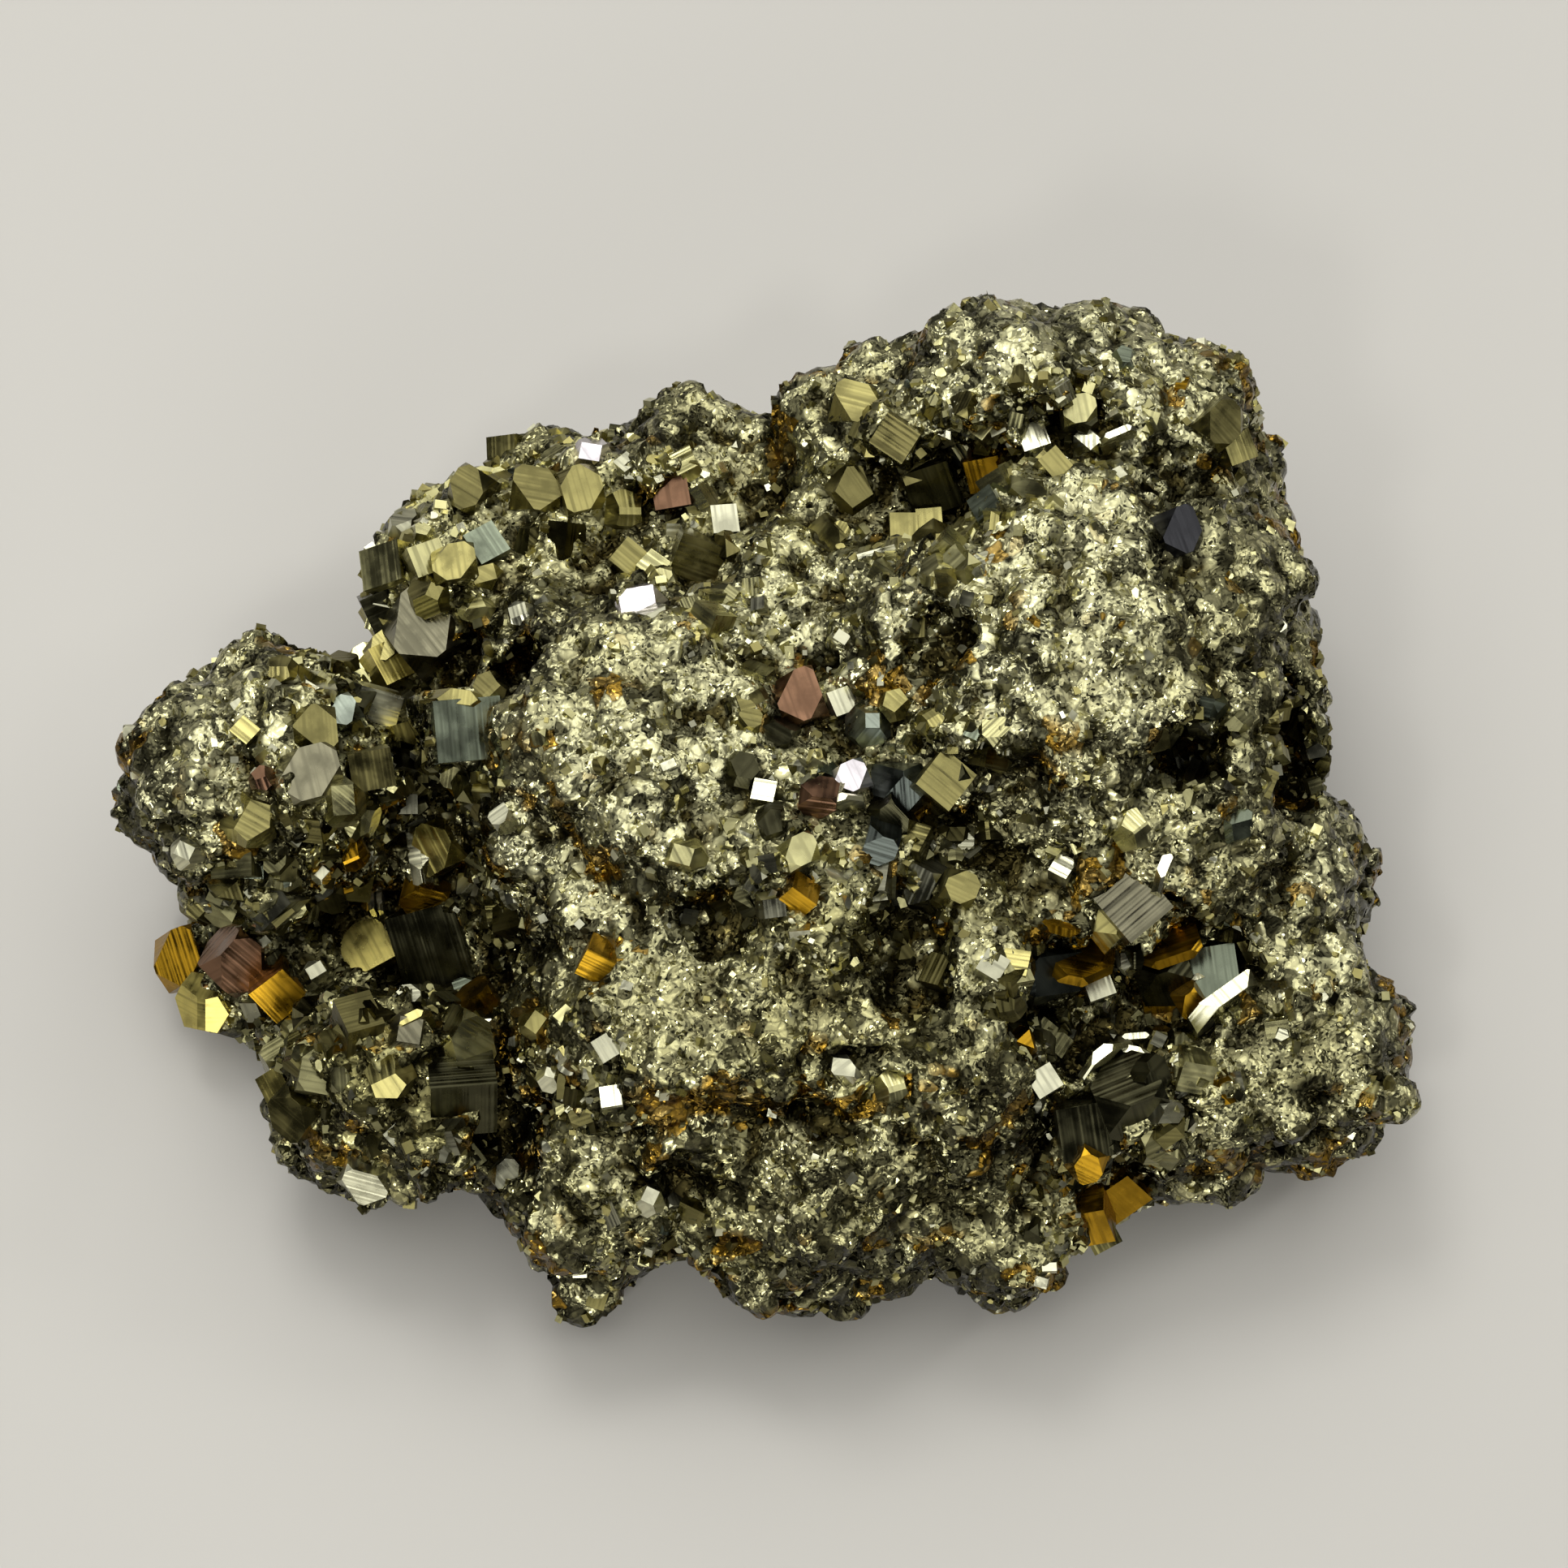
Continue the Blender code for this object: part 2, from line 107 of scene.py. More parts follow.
CRYSTALS = {
    # how far right of and above the middle in the view, half width, habit, how far its top
    # leans right and up from the view's line and its spin about it in degrees, colour
    "shelf_crystals": [
        (-20.1, 10.1, 2.1, "clipped", -8, 11, 40, "grey"),
        (-18.5, 13.9, 1.3, "clipped", 0, 15, 10, "olive"),
        (-16.6, 15.2, 1.0, "cube", 10, 20, 30, "slate"),
        (-16.6, 13.4, 0.8, "clipped", 0, 10, 60, "olive"),
        (-10.4, 20.6, 1.2, "octahedron", -2, 12, 35, "lilac"),
        (-11.1, 18.4, 1.3, "clipped", 8, 10, 15, "olive"),
        (-8.4, 17.3, 1.3, "pyritohedron", 15, 10, 0, "olive"),
        (-5.5, 18.4, 1.0, "cube", 0, 6, 10, "rust"),
        (-13.5, 18.6, 1.4, "clipped", 4, 8, 80, "dull"),
        (-17.4, 18.4, 1.3, "clipped", -15, 10, 60, "dull"),
        (-8.0, 14.5, 0.9, "cube", 10, 5, 50, "olive"),
        (-7.3, 11.6, 1.2, "clipped", -2, 17, 55, "lilac"),
        (-14.5, 11.0, 0.9, "pyritohedron", -20, 15, 20, "silver"),
        (-4.0, 14.7, 1.4, "cube", 5, -15, 70, "dull"),
        (-2.4, 16.7, 0.9, "cube", 10, 15, 5, "silver"),
        (-22.3, 13.9, 1.3, "cube", -30, 10, 15, "fresh"),
        (-20.3, 14.4, 1.0, "cube", 15, 10, 20, "fresh"),
        (-19.8, 12.4, 1.4, "octahedron", 10, 5, 20, "olive"),
        (-16.4, 6.4, 1.2, "pyritohedron", 0, 10, 45, "dull"),
    ],
    "knob_crystals": [
        (-22.4, 8.2, 1.3, "cube", 20, 15, 25, "gold"),
        (-24.4, 9.5, 1.0, "clipped", 0, 20, 40, "dull"),
        (-27.0, 9.2, 1.4, "clipped", 0, 25, 35, "fresh"),
        (-28.9, 7.7, 0.9, "pyritohedron", -5, 20, 0, "dull"),
        (-25.2, 5.1, 1.0, "clipped", 3, 14, 35, "steel"),
        (-23.4, 5.6, 1.3, "cube", 15, -10, 75, "silver"),
        (-26.7, 4.0, 1.3, "clipped", 5, 15, 5, "dull"),
        (-21.3, 3.7, 1.0, "cube", 25, 5, 15, "gold"),
        (-23.6, 2.0, 1.2, "cube", 10, -5, 10, "dull"),
        (-27.2, 1.2, 1.8, "clipped", 3, 12, 15, "grey"),
        (-25.4, -0.1, 1.4, "octahedron", 10, 0, 50, "fresh"),
        (-30.7, -1.2, 1.7, "pyritohedron", -14, 18, 65, "olive"),
        (-34.6, -3.2, 1.0, "octahedron", -10, 10, 20, "silver"),
        (-30.1, 1.2, 0.8, "pyritohedron", 0, 10, 20, "rust"),
        (-31.1, 4.0, 0.7, "cube", 0, 20, 50, "olive"),
    ],
    "gap_crystals": [
        (-18.0, 4.3, 1.9, "cube", 14, 2, 5, "slate"),
        (-20.7, -3.9, 1.9, "blade", -5, 26, 100, "silver"),
        (-20.2, -3.7, 1.6, "blade", -5, 26, 100, "silver"),
        (-18.4, 5.4, 2.6, "blade", 4, 14, -8, "olive"),
        (-18.6, 3.0, 1.6, "blade", 4, 14, -8, "olive"),
        (-19.5, -3.0, 1.4, "clipped", -20, 0, 30, "gold"),
        (-20.3, -5.8, 1.3, "clipped", 0, -25, 75, "ochre"),
        (-23.4, -6.1, 0.9, "blade", -6, 24, 95, "silver"),
        (-22.9, -6.1, 0.9, "blade", -6, 24, 95, "silver"),
        (-24.7, -3.3, 1.0, "pyritohedron", 0, -20, 25, "ochre"),
        (-26.5, -4.5, 0.6, "octahedron", 0, 10, 5, "silver"),
        (-23.4, -8.7, 2.0, "cube", -4, 20, 30, "gold"),
        (-19.4, -8.6, 2.4, "cube", -15, -10, 15, "black"),
    ],
    "foot_crystals": [
        (-34.7, -9.6, 1.6, "clipped", -12, 4, 20, "ochre"),
        (-31.7, -9.6, 1.7, "clipped", 18, -15, 50, "rust"),
        (-33.2, -12.2, 2.0, "pyritohedron", -20, -20, 80, "gold"),
        (-28.9, -11.3, 1.3, "cube", 5, -25, 40, "ochre"),
        (-27.0, -10.5, 0.9, "pyritohedron", 15, 10, 30, "silver"),
    ],
    "paw_crystals": [
        (-21.4, -14.2, 1.5, "octahedron", 12, 8, 35, "grey"),
        (-18.0, -14.7, 1.7, "clipped", 25, -5, 60, "fresh"),
        (-17.9, -17.4, 1.9, "cube", 12, -42, 5, "black"),
        (-22.3, -16.7, 1.4, "pyritohedron", -15, 0, 25, "olive"),
        (-29.1, -17.2, 0.9, "cube", -20, 0, 30, "gold"),
        (-28.0, -18.8, 1.3, "clipped", -25, -15, 50, "dull"),
        (-21.0, -13.6, 1.3, "blade", -4, 30, 30, "olive"),
        (-17.2, -13.9, 1.2, "blade", -4, 24, 5, "silver"),
        (-23.8, -22.6, 1.3, "clipped", 0, -35, 70, "silver"),
        (-17.1, -12.3, 1.2, "clipped", 10, -20, 35, "ochre"),
        (-13.7, -13.4, 0.9, "octahedron", 0, 5, 10, "olive"),
        (-12.7, -16.7, 0.8, "octahedron", 0, 15, 30, "silver"),
    ],
    "middle_pit_crystals": [
        (2.4, 6.0, 1.4, "clipped", -5, 10, 20, "rust"),
        (6.5, 4.5, 1.4, "octahedron", 4, 12, 45, "steel"),
        (4.7, 5.8, 0.7, "cube", 15, 15, 20, "silver"),
        (8.0, 5.6, 1.0, "pyritohedron", 25, 5, 40, "olive"),
        (5.4, 1.2, 1.0, "clipped", -3, 12, 25, "lilac"),
        (0.1, 0.4, 0.65, "cube", -5, 22, 80, "silver"),
        (3.4, 0.1, 1.0, "clipped", -10, -40, 80, "rust"),
        (10.7, 1.1, 1.25, "cube", 14, 8, 50, "olive"),
        (8.3, 0.6, 1.8, "octahedron", 0, -20, 5, "teal"),
        (2.1, -3.3, 1.0, "clipped", 10, 15, 25, "fresh"),
        (11.6, -5.3, 1.0, "clipped", 15, 12, 65, "olive"),
        (2.1, -5.8, 0.9, "cube", -10, -38, 45, "ochre"),
        (-4.7, -3.5, 1.2, "octahedron", -14, 10, 30, "fresh"),
        (-1.2, 1.7, 1.1, "octahedron", 5, -30, 30, "black"),
        (1.0, 4.0, 0.9, "clipped", -20, -10, 60, "black"),
        (0.6, -1.4, 1.0, "pyritohedron", 10, -25, 20, "black"),
        (7.8, -1.0, 1.1, "clipped", 0, -30, 40, "black"),
        (11.8, 1.6, 1.0, "octahedron", 20, -20, 10, "black"),
        (7.0, -2.4, 1.0, "clipped", -5, -30, 70, "teal"),
        (4.6, -0.6, 1.3, "blade", -6, 26, 20, "silver"),
    ],
    "crown_pit_crystals": [
        (8.4, 16.3, 0.8, "cube", 5, 15, 0, "olive"),
        (10.1, 16.4, 0.85, "cube", -5, 15, 5, "olive"),
        (9.0, 19.9, 0.9, "cube", 10, 10, 20, "dull"),
        (11.3, 20.9, 0.9, "blade", -6, 26, -45, "silver"),
        (11.8, 21.3, 0.9, "blade", -6, 26, -45, "silver"),
        (10.2, 19.3, 1.5, "cube", 0, -30, 20, "black"),
        (8.1, 21.9, 1.2, "cube", -14, -12, 55, "dull"),
        (5.4, 18.6, 1.6, "pyritohedron", 25, -15, 35, "dull"),
        (5.7, 23.7, 1.3, "clipped", 0, 12, 75, "olive"),
        (18.9, 23.2, 1.0, "clipped", 4, 12, 10, "fresh"),
        (16.4, 21.6, 0.8, "cube", -8, 24, 20, "silver"),
        (19.6, 21.2, 0.8, "clipped", -3, 27, 0, "silver"),
        (21.4, 21.6, 1.1, "blade", -7, 23, 25, "silver"),
        (19.3, 22.8, 0.9, "octahedron", 0, -30, 20, "black"),
        (17.4, 20.1, 0.8, "cube", 10, 10, 40, "olive"),
        (13.5, 19.8, 1.0, "cube", -15, -20, 10, "ochre"),
        (25.0, 16.0, 1.25, "clipped", 10, 5, 20, "violet"),
        (27.3, 22.5, 1.3, "clipped", 15, 0, 45, "dull"),
        (28.4, 21.2, 0.9, "cube", 20, 5, 20, "olive"),
    ],
    "brow_crystals": [
        (22.1, -6.2, 1.7, "cube", 3, 6, -50, "grey"),
        (20.3, -7.3, 2.0, "slab", -10, 8, -52, "olive"),
        (18.1, -6.9, 1.6, "blade", -25, -35, -18, "ochre"),
        (18.8, -9.3, 2.0, "blade", -10, -40, -15, "ochre"),
        (24.4, -8.4, 1.8, "blade", 10, -40, 25, "ochre"),
        (24.0, -10.6, 1.7, "clipped", 10, -42, 25, "black"),
        (20.1, -11.1, 0.9, "cube", 0, 10, 20, "silver"),
        (23.8, -11.8, 1.0, "cube", 10, -25, 10, "ochre"),
        (25.9, -12.1, 0.9, "clipped", 0, -30, 40, "ochre"),
        (27.5, -10.6, 1.5, "cube", -15, 10, 10, "slate"),
        (27.9, -12.5, 2.3, "blade", -6, 26, 38, "silver"),
        (20.5, -16.2, 1.9, "blade", -10, 28, 42, "silver"),
        (22.4, -14.6, 1.0, "blade", -4, 26, 5, "silver"),
        (22.2, -15.4, 1.1, "blade", -4, 24, -12, "silver"),
        (26.3, -10.9, 0.9, "blade", -4, 26, 20, "silver"),
        (23.4, -16.4, 1.1, "octahedron", 10, -20, 20, "black"),
        (16.7, -17.0, 0.8, "cube", 10, 15, 30, "silver"),
        (22.0, -17.9, 1.9, "clipped", 22, -42, 30, "black"),
        (19.4, -19.6, 1.5, "cube", 5, -10, 10, "black"),
        (16.7, -10.1, 1.9, "clipped", 35, -10, 50, "teal"),
        (28.3, -1.6, 1.2, "octahedron", 20, -15, 60, "slate"),
        (22.3, -1.9, 1.3, "pyritohedron", 15, 10, 35, "fresh"),
        (24.2, -4.4, 1.4, "blade", -8, 24, 70, "silver"),
        (18.0, -4.2, 0.6, "cube", -3, 27, 60, "silver"),
    ],
    "front_crystals": [
        (-6.8, -24.1, 0.9, "octahedron", 0, 16, 20, "silver"),
        (-15.5, -22.5, 0.9, "clipped", 10, 0, 40, "silver"),
        (-9.0, -18.0, 0.6, "cube", -6, 26, 10, "silver"),
        (-9.4, -14.9, 0.7, "cube", 15, 10, 30, "silver"),
        (-9.8, -9.7, 1.0, "cube", -10, -30, 60, "ochre"),
        (5.0, -16.3, 1.2, "slab", -15, 15, -50, "silver"),
        (7.7, -17.3, 1.0, "pyritohedron", 10, 10, 15, "fresh"),
        (21.3, -23.3, 1.3, "cube", 10, -35, 45, "ochre"),
        (19.4, -24.6, 1.4, "cube", -5, -40, 15, "ochre"),
        (19.5, -21.7, 1.0, "clipped", 0, -30, 60, "ochre"),
        (20.3, -25.8, 0.9, "cube", 10, -20, 30, "olive"),
        (15.6, -14.7, 0.7, "clipped", 0, -30, 20, "ochre"),
    ],
}


def merged_copy(node):
    """The CAD node's mesh with its loose triangles welded."""
    weld = bmesh.new()
    weld.from_mesh(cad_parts[node].data)
    bmesh.ops.remove_doubles(weld, verts=weld.verts, dist=1e-6)
    return weld


def sighted(x, v):
    """Where the view's line through (x right, v up) of the middle meets the solid, in mm,
    and the line's direction towards the eye. A line that misses is drawn in towards the
    middle until it meets the solid."""
    for share in np.linspace(1, 0, 60):
        target = MIDDLE + share * (RIGHT * x + UP * v)
        back = (EYE - target) / np.linalg.norm(EYE - target)
        start = Vector((target + back * OUTSIDE) * MM)
        hit = solid_skin.ray_cast(start, Vector(-back))[0]
        if hit is not None:
            return np.array(hit) / MM, back


def crystal_turn(right, up, spin):
    """Rotation whose third axis leans right and up, in degrees, from the view's line."""
    base = Matrix((RIGHT, UP, SIGHT)).transposed()
    return np.array(base @ Matrix.Rotation(math.radians(right), 3, "Y")
                    @ Matrix.Rotation(math.radians(-up), 3, "X")
                    @ Matrix.Rotation(math.radians(spin), 3, "Z"))


def linear(colour):
    """Linear red, green, blue from an sRGB hex colour."""
    srgb = np.array([int(colour[i:i + 2], 16) / 255 for i in (1, 3, 5)])
    return np.where(srgb <= 0.04045, srgb / 12.92, ((srgb + 0.055) / 1.055) ** 2.4)


def add_node(tree, kind, feeds=(), **settings):
    """Adds one shader node. Settings named like a socket set its value, others set the
    node's own property, and feeds are pairs of an input and the output socket or constant
    that feeds it."""
    node = tree.nodes.new("ShaderNode" + kind)
    for name, value in settings.items():
        if hasattr(node, name):
            setattr(node, name, value)
        else:
            node.inputs[name.replace("_", " ")].default_value = value
    for socket, source in feeds:
        if isinstance(source, bpy.types.NodeSocket):
            tree.links.new(node.inputs[socket], source)
        else:
            node.inputs[socket].default_value = source
    return node


def new_material(name):
    """A material with no nodes but its output, then its node tree and the output node."""
    material = bpy.data.materials.new(name)
    material.use_nodes = True
    tree = material.node_tree
    tree.nodes.clear()
    return material, tree, tree.nodes.new("ShaderNodeOutputMaterial")


def new_piece(name, points, loops, sizes, material):
    """A mesh object at the origin from points in mm, the corners of all faces one after
    another, and each face's number of corners. It rides on the lump's body."""
    mesh = bpy.data.meshes.new(name)
    mesh.vertices.add(len(points))
    mesh.loops.add(len(loops))
    mesh.polygons.add(len(sizes))
    mesh.vertices.foreach_set("co", (points * MM).ravel())
    mesh.loops.foreach_set("vertex_index", loops.ravel())
    mesh.polygons.foreach_set("loop_start", np.concatenate(((0,), np.cumsum(sizes)[:-1])))
    mesh.update(calc_edges=True)
    mesh.validate()
    mesh.materials.append(material)
    piece = bpy.data.objects.new(name, mesh)
    bpy.context.scene.collection.objects.link(piece)
    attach(piece, "root")
    return piece


def set_attribute(piece, name, kind, values, domain="POINT"):
    """Stores one value for each point or face corner of the piece: a number or a colour."""
    layer = piece.data.attributes.new(name, kind, domain)
    if kind == "FLOAT_COLOR":
        values = np.concatenate((values, np.ones((len(values), 1))), axis=1)
    layer.data.foreach_set("color" if kind == "FLOAT_COLOR" else "value", values.ravel())


def unit(values):
    """Each row divided by its length."""
    return values / np.linalg.norm(values, axis=1, keepdims=True)


def habit_faces(corner_cut, edge_cut, breadth):
    """Unit normals and distances of a habit's faces: three pairs of cube faces, the second
    at the breadth, then the octahedron's eight and the pyritohedron's twelve where the
    habit has them."""
    signs = [(a, b) for a in (-1, 1) for b in (-1, 1)]
    normals = [(s, 0, 0) for s in (-1, 1)] + [(0, s, 0) for s in (-1, 1)]
    normals += [(0, 0, s) for s in (-1, 1)]
    distances = [1.0, 1.0, breadth, breadth, 1.0, 1.0]
    if corner_cut:
        normals += [(a, b, c) for a, b in signs for c in (-1, 1)]
        distances += [corner_cut] * 8
    if edge_cut:
        normals += [n for a, b in signs for n in ((a, 2 * b, 0), (0, a, 2 * b), (2 * b, 0, a))]
        distances += [edge_cut] * 12
    return unit(np.array(normals, float)), np.array(distances)


def crystal_form(rng, habit):
    """Corners and faces of a unit crystal whose faces each grew a little too near or too
    far: a corner is where three face planes meet without passing outside any other, and
    each face takes its corners in turning order. The last result has, for each corner of
    each face, the crystal's axis that the face's growth lines lie across."""
    normals, distances = habit_faces(*HABITS[habit])
    distances = distances * (1 + UNEVEN * rng.uniform(-1, 1, len(distances)))
    trios = np.array([(i, j, k) for i in range(len(normals)) for j in range(i)
                      for k in range(j)])
    planes = normals[trios]
    meets = np.abs(np.linalg.det(planes)) > 1e-6
    corners = np.linalg.solve(planes[meets], distances[trios[meets]][:, :, None])[:, :, 0]
    inside = (corners @ normals.T <= distances + 1e-6).all(axis=1)
    corners = np.unique(np.round(corners[inside], 6), axis=0)
    faces, across_lines = [], []
    for normal, distance in zip(normals, distances):
        on = np.flatnonzero(np.abs(corners @ normal - distance) < 1e-4)
        if len(on) < 3:
            continue
        across = corners[on] - corners[on].mean(axis=0)
        side = np.cross(normal, across[0])
        faces.append(on[np.argsort(np.arctan2(across @ side, across @ across[0]
                                              * np.linalg.norm(side)))])
        across_lines.append(np.full(len(on), (np.abs(normal).argmax() + 1) % 3))
    return corners, faces, np.concatenate(across_lines)


def turns(quaternions):
    """Rotation matrices of unit quaternions (w, x, y, z)."""
    w, x, y, z = quaternions.T
    return np.stack((1 - 2 * (y * y + z * z), 2 * (x * y - w * z), 2 * (x * z + w * y),
                     2 * (x * y + w * z), 1 - 2 * (x * x + z * z), 2 * (y * z - w * x),
                     2 * (x * z - w * y), 2 * (y * z + w * x), 1 - 2 * (x * x + y * y)),
                    axis=1).reshape(-1, 3, 3)


def grown(form, centres, matrices, halves):
    """Points, corners and face sizes of one form grown at many places: every unit corner
    is stretched by the half widths, turned and moved, for all places at once. The last
    result says how far each face corner lies across the growth lines, in mm, counted from
    a start that depends on the place."""
    corners, faces, across_lines = form
    points = centres[:, None] + np.einsum("nij,nkj->nki", matrices,
                                          corners[None] * halves[:, None])
    flat = np.concatenate(faces)
    sizes = np.array([len(face) for face in faces])
    loops = flat[None] + len(corners) * np.arange(len(centres))[:, None]
    growth = (corners[flat, across_lines] * halves[:, across_lines]
              + centres.sum(axis=1)[:, None])
    return (points.reshape(-1, 3), loops.ravel(), np.tile(sizes, len(centres)),
            growth.ravel(), len(corners))


def crystal_piece(name, kinds, centres, matrices, halves, colours, material):
    """One piece of many crystals; kinds gives each one's habit, halves its three half
    widths, and colours its own linear colour, which all its points carry."""
    parts, tints, start = [], [], 0
    variants = np.arange(len(kinds)) % VARIANTS
    for habit, variant in FORMS:
        chosen = (kinds == habit) & (variants == variant)
        if not chosen.any():
            continue
        points, loops, sizes, growth, corners = grown(FORMS[habit, variant], centres[chosen],
                                                      matrices[chosen], halves[chosen])
        parts.append((points, loops + start, sizes, growth))
        tints.append(np.repeat(colours[chosen], corners, axis=0))
        start += len(points)
    points, loops, sizes, growth = (np.concatenate(rows) for rows in zip(*parts))
    points[:, 2] = np.maximum(points[:, 2], LOWEST)
    piece = new_piece(name, points, loops, sizes, material)
    piece.data.shade_flat()
    set_attribute(piece, "tint", "FLOAT_COLOR", np.concatenate(tints))
    set_attribute(piece, "growth", "FLOAT", growth, "CORNER")
    return piece


def mixed_colours(rng, names, spread):
    """Each named colour, lightened or darkened at random by up to the spread."""
    base = {name: linear(value) for name, value in COLOURS.items()}
    colours = np.array([base[name] for name in names])
    return np.clip(colours * (1 + rng.uniform(-spread, spread, (len(names), 1))), 0, 1)


solid = merged_copy("pyrite_specimen")
solid_skin = BVHTree.FromBMesh(solid)
rng = np.random.default_rng(21)
FORMS = {(habit, variant): crystal_form(rng, habit)
         for habit in HABITS for variant in range(VARIANTS)}

# Grown pyrite faces: bright sulphide metal, a little dulled by a film of tarnish that
# comes and goes in clouds, with growth lines along each face that bend the reflections.
# Real growth lines are finer, and these are as fine as will show.
LINE_PITCH, LINE_DEPTH = 0.36, 0.035
FILM_WIDTH = 1.6  # of the clouds of tarnish

grown_faces, tree, output = new_material("grown_pyrite_faces")
place = add_node(tree, "TexCoord").outputs["Object"]
tint = add_node(tree, "Attribute", attribute_name="tint")
cloud = add_node(tree, "TexNoise", [("Vector", place)], Scale=1 / (FILM_WIDTH * MM), Detail=5.0)
grown_from = add_node(tree, "Attribute", attribute_name="growth")
lines = add_node(tree, "TexNoise", [("W", grown_from.outputs["Fac"])],
                 noise_dimensions="1D", Scale=1 / LINE_PITCH, Detail=1.0)
patchy = add_node(tree, "MapRange", [("Value", cloud.outputs["Fac"])],
                  From_Min=0.35, From_Max=0.65, To_Min=0.18, To_Max=0.4)
relief = add_node(tree, "Bump", [("Height", lines.outputs["Fac"])], Distance=LINE_DEPTH * MM)
film = add_node(tree, "MapRange", [("Value", cloud.outputs["Fac"])],
                From_Min=0.35, From_Max=0.62, To_Min=0.6, To_Max=1.1)
groove = add_node(tree, "MapRange", [("Value", lines.outputs["Fac"]),
                                     ("To Max", film.outputs["Result"])],
                  From_Min=0.3, From_Max=0.5, To_Min=0.65)
filmed = add_node(tree, "VectorMath", [(0, tint.outputs["Color"]),
                                       (1, groove.outputs["Result"])],
                  operation="MULTIPLY")
crystal_look = add_node(tree, "BsdfPrincipled",
                        [("Base Color", filmed.outputs["Vector"]),
                         ("Roughness", patchy.outputs["Result"]),
                         ("Normal", relief.outputs["Normal"])], Metallic=1.0)
tree.links.new(output.inputs["Surface"], crystal_look.outputs["BSDF"])

large_centres, large_halves = [], []
for group, rows in CRYSTALS.items():
    kinds, centres, matrices, halves, colours = [], [], [], [], []
    for x, v, half, habit, right, up, spin, colour in rows:
        hit, back = sighted(x, v)
        sink = half if half >= LARGE else half * SET_IN
        kinds.append(habit)
        centres.append(hit - back * (sink - PROUD))
        matrices.append(crystal_turn(right, up, spin))
        halves.append(half)
        colours.append(colour)
    centres, halves = np.array(centres), np.array(halves)
    piece = crystal_piece(group, np.array(kinds), centres, np.array(matrices),
                          np.repeat(halves[:, None], 3, axis=1),
                          mixed_colours(rng, colours, UNLIKE[0]), grown_faces)
    bevel = piece.modifiers.new("worn_edges", "BEVEL")
    bevel.width, bevel.segments, bevel.limit_method = EDGE * MM, 1, "ANGLE"
    large_centres.append(centres)
    large_halves.append(halves)
large_centres, large_halves = np.concatenate(large_centres), np.concatenate(large_halves)

# ---------------------------------------------------------------------------------------
# The massive pyrite. Iron sulphide that grew as one lump of interlocked grains, broken off
# its vein: a hackly skin of small flat chips at every tilt, in clods a few millimetres wide.
# It stands for the CAD solid, from which it takes all its lumps, ledges and pits.
SKIN_STEP = 0.42  # between the points of the skin
CLODS = dict(size=3.4, slope=0.16, step=0.20, dome=0.9, seed=3)
CHIPS = dict(size=1.25, slope=0.32, step=0.12, dome=0.25, seed=8)
LEVEL = 0.22  # squared distance at which a dome is nought, so that domes average out
STEEPER = 0.7  # how much more the clods stand out on the flanks
STEEP = 3, 0.62, 0.7  # rounds of easing for the normals; their upward part where flanks
# begin, and how much further it falls to the steepest
BEDDED, RAISED = 0.35, 0.8  # chips begin this far above the table, and are full this far on
MOAT = 0.35  # how far the skin draws back off the free side of a large crystal
MOAT_REACH, MOAT_RIM = 1.5, 0.3  # in the crystal's half widths: how far out, how soft its rim
OVERGROWN = 0.22  # how far, in its half widths, a large crystal's free side is off its middle
CREASE = 14, 0.35  # rounds of easing, and how far they lift the bottom of a full crease
PIT = 150, 8, 2.2  # the same for pits, with the rounds for their normals between the two
FLANK = 4, 0.95, 0.8  # as STEEP, for the finish
SKIN_LOWEST = 0.01


def even_skin(weld, step):
    """Corner points and four-sided faces of the same solid on an even grid."""
    mesh = bpy.data.meshes.new("skin")
    weld.to_mesh(mesh)
    holder = bpy.data.objects.new("skin", mesh)
    bpy.context.scene.collection.objects.link(holder)
    fuse = holder.modifiers.new("fuse", "REMESH")
    fuse.mode, fuse.voxel_size = "VOXEL", step * MM
    bpy.context.view_layer.update()
    even = holder.evaluated_get(bpy.context.evaluated_depsgraph_get()).data
    points = np.empty(len(even.vertices) * 3)
    even.vertices.foreach_get("co", points)
    corners = np.empty(len(even.loops), int)
    even.loops.foreach_get("vertex_index", corners)
    bpy.data.objects.remove(holder)
    return points.reshape(-1, 3) / MM, corners.reshape(-1, 4)


def face_vectors(points, faces):
    """Area vector of each face: half the cross product of its two diagonals."""
    return np.cross(points[faces[:, 2]] - points[faces[:, 0]],
                    points[faces[:, 3]] - points[faces[:, 1]]) / 2


def point_normals(points, faces):
    """Unit normal at each point: the sum of the area vectors of the faces around it."""
    total = np.zeros_like(points)
    vectors = face_vectors(points, faces)
    for corner in faces.T:
        np.add.at(total, corner, vectors)
    return unit(total)


def eased(values, faces, rounds):
    """Values at the points, averaged again and again with their neighbours round each face."""
    shape = (len(values),) + (1,) * (values.ndim - 1)
    count = np.bincount(faces.ravel(), minlength=len(values)).reshape(shape)
    for _ in range(rounds):
        centre = values[faces].mean(axis=1)
        total = np.zeros_like(values)
        for corner in faces.T:
            np.add.at(total, corner, centre)
        values = total / count
    return values


def lattice_random(cells, seed):
    """Three numbers from 0 to 1 for each whole-number cell: the fraction of a large sine."""
    keys = np.array(((127.1, 311.7, 74.7), (269.5, 183.3, 246.1), (113.5, 271.9, 124.6)))
    return np.modf(np.abs(np.sin(cells @ keys.T + seed * 17.3) * 43758.5453))[0]


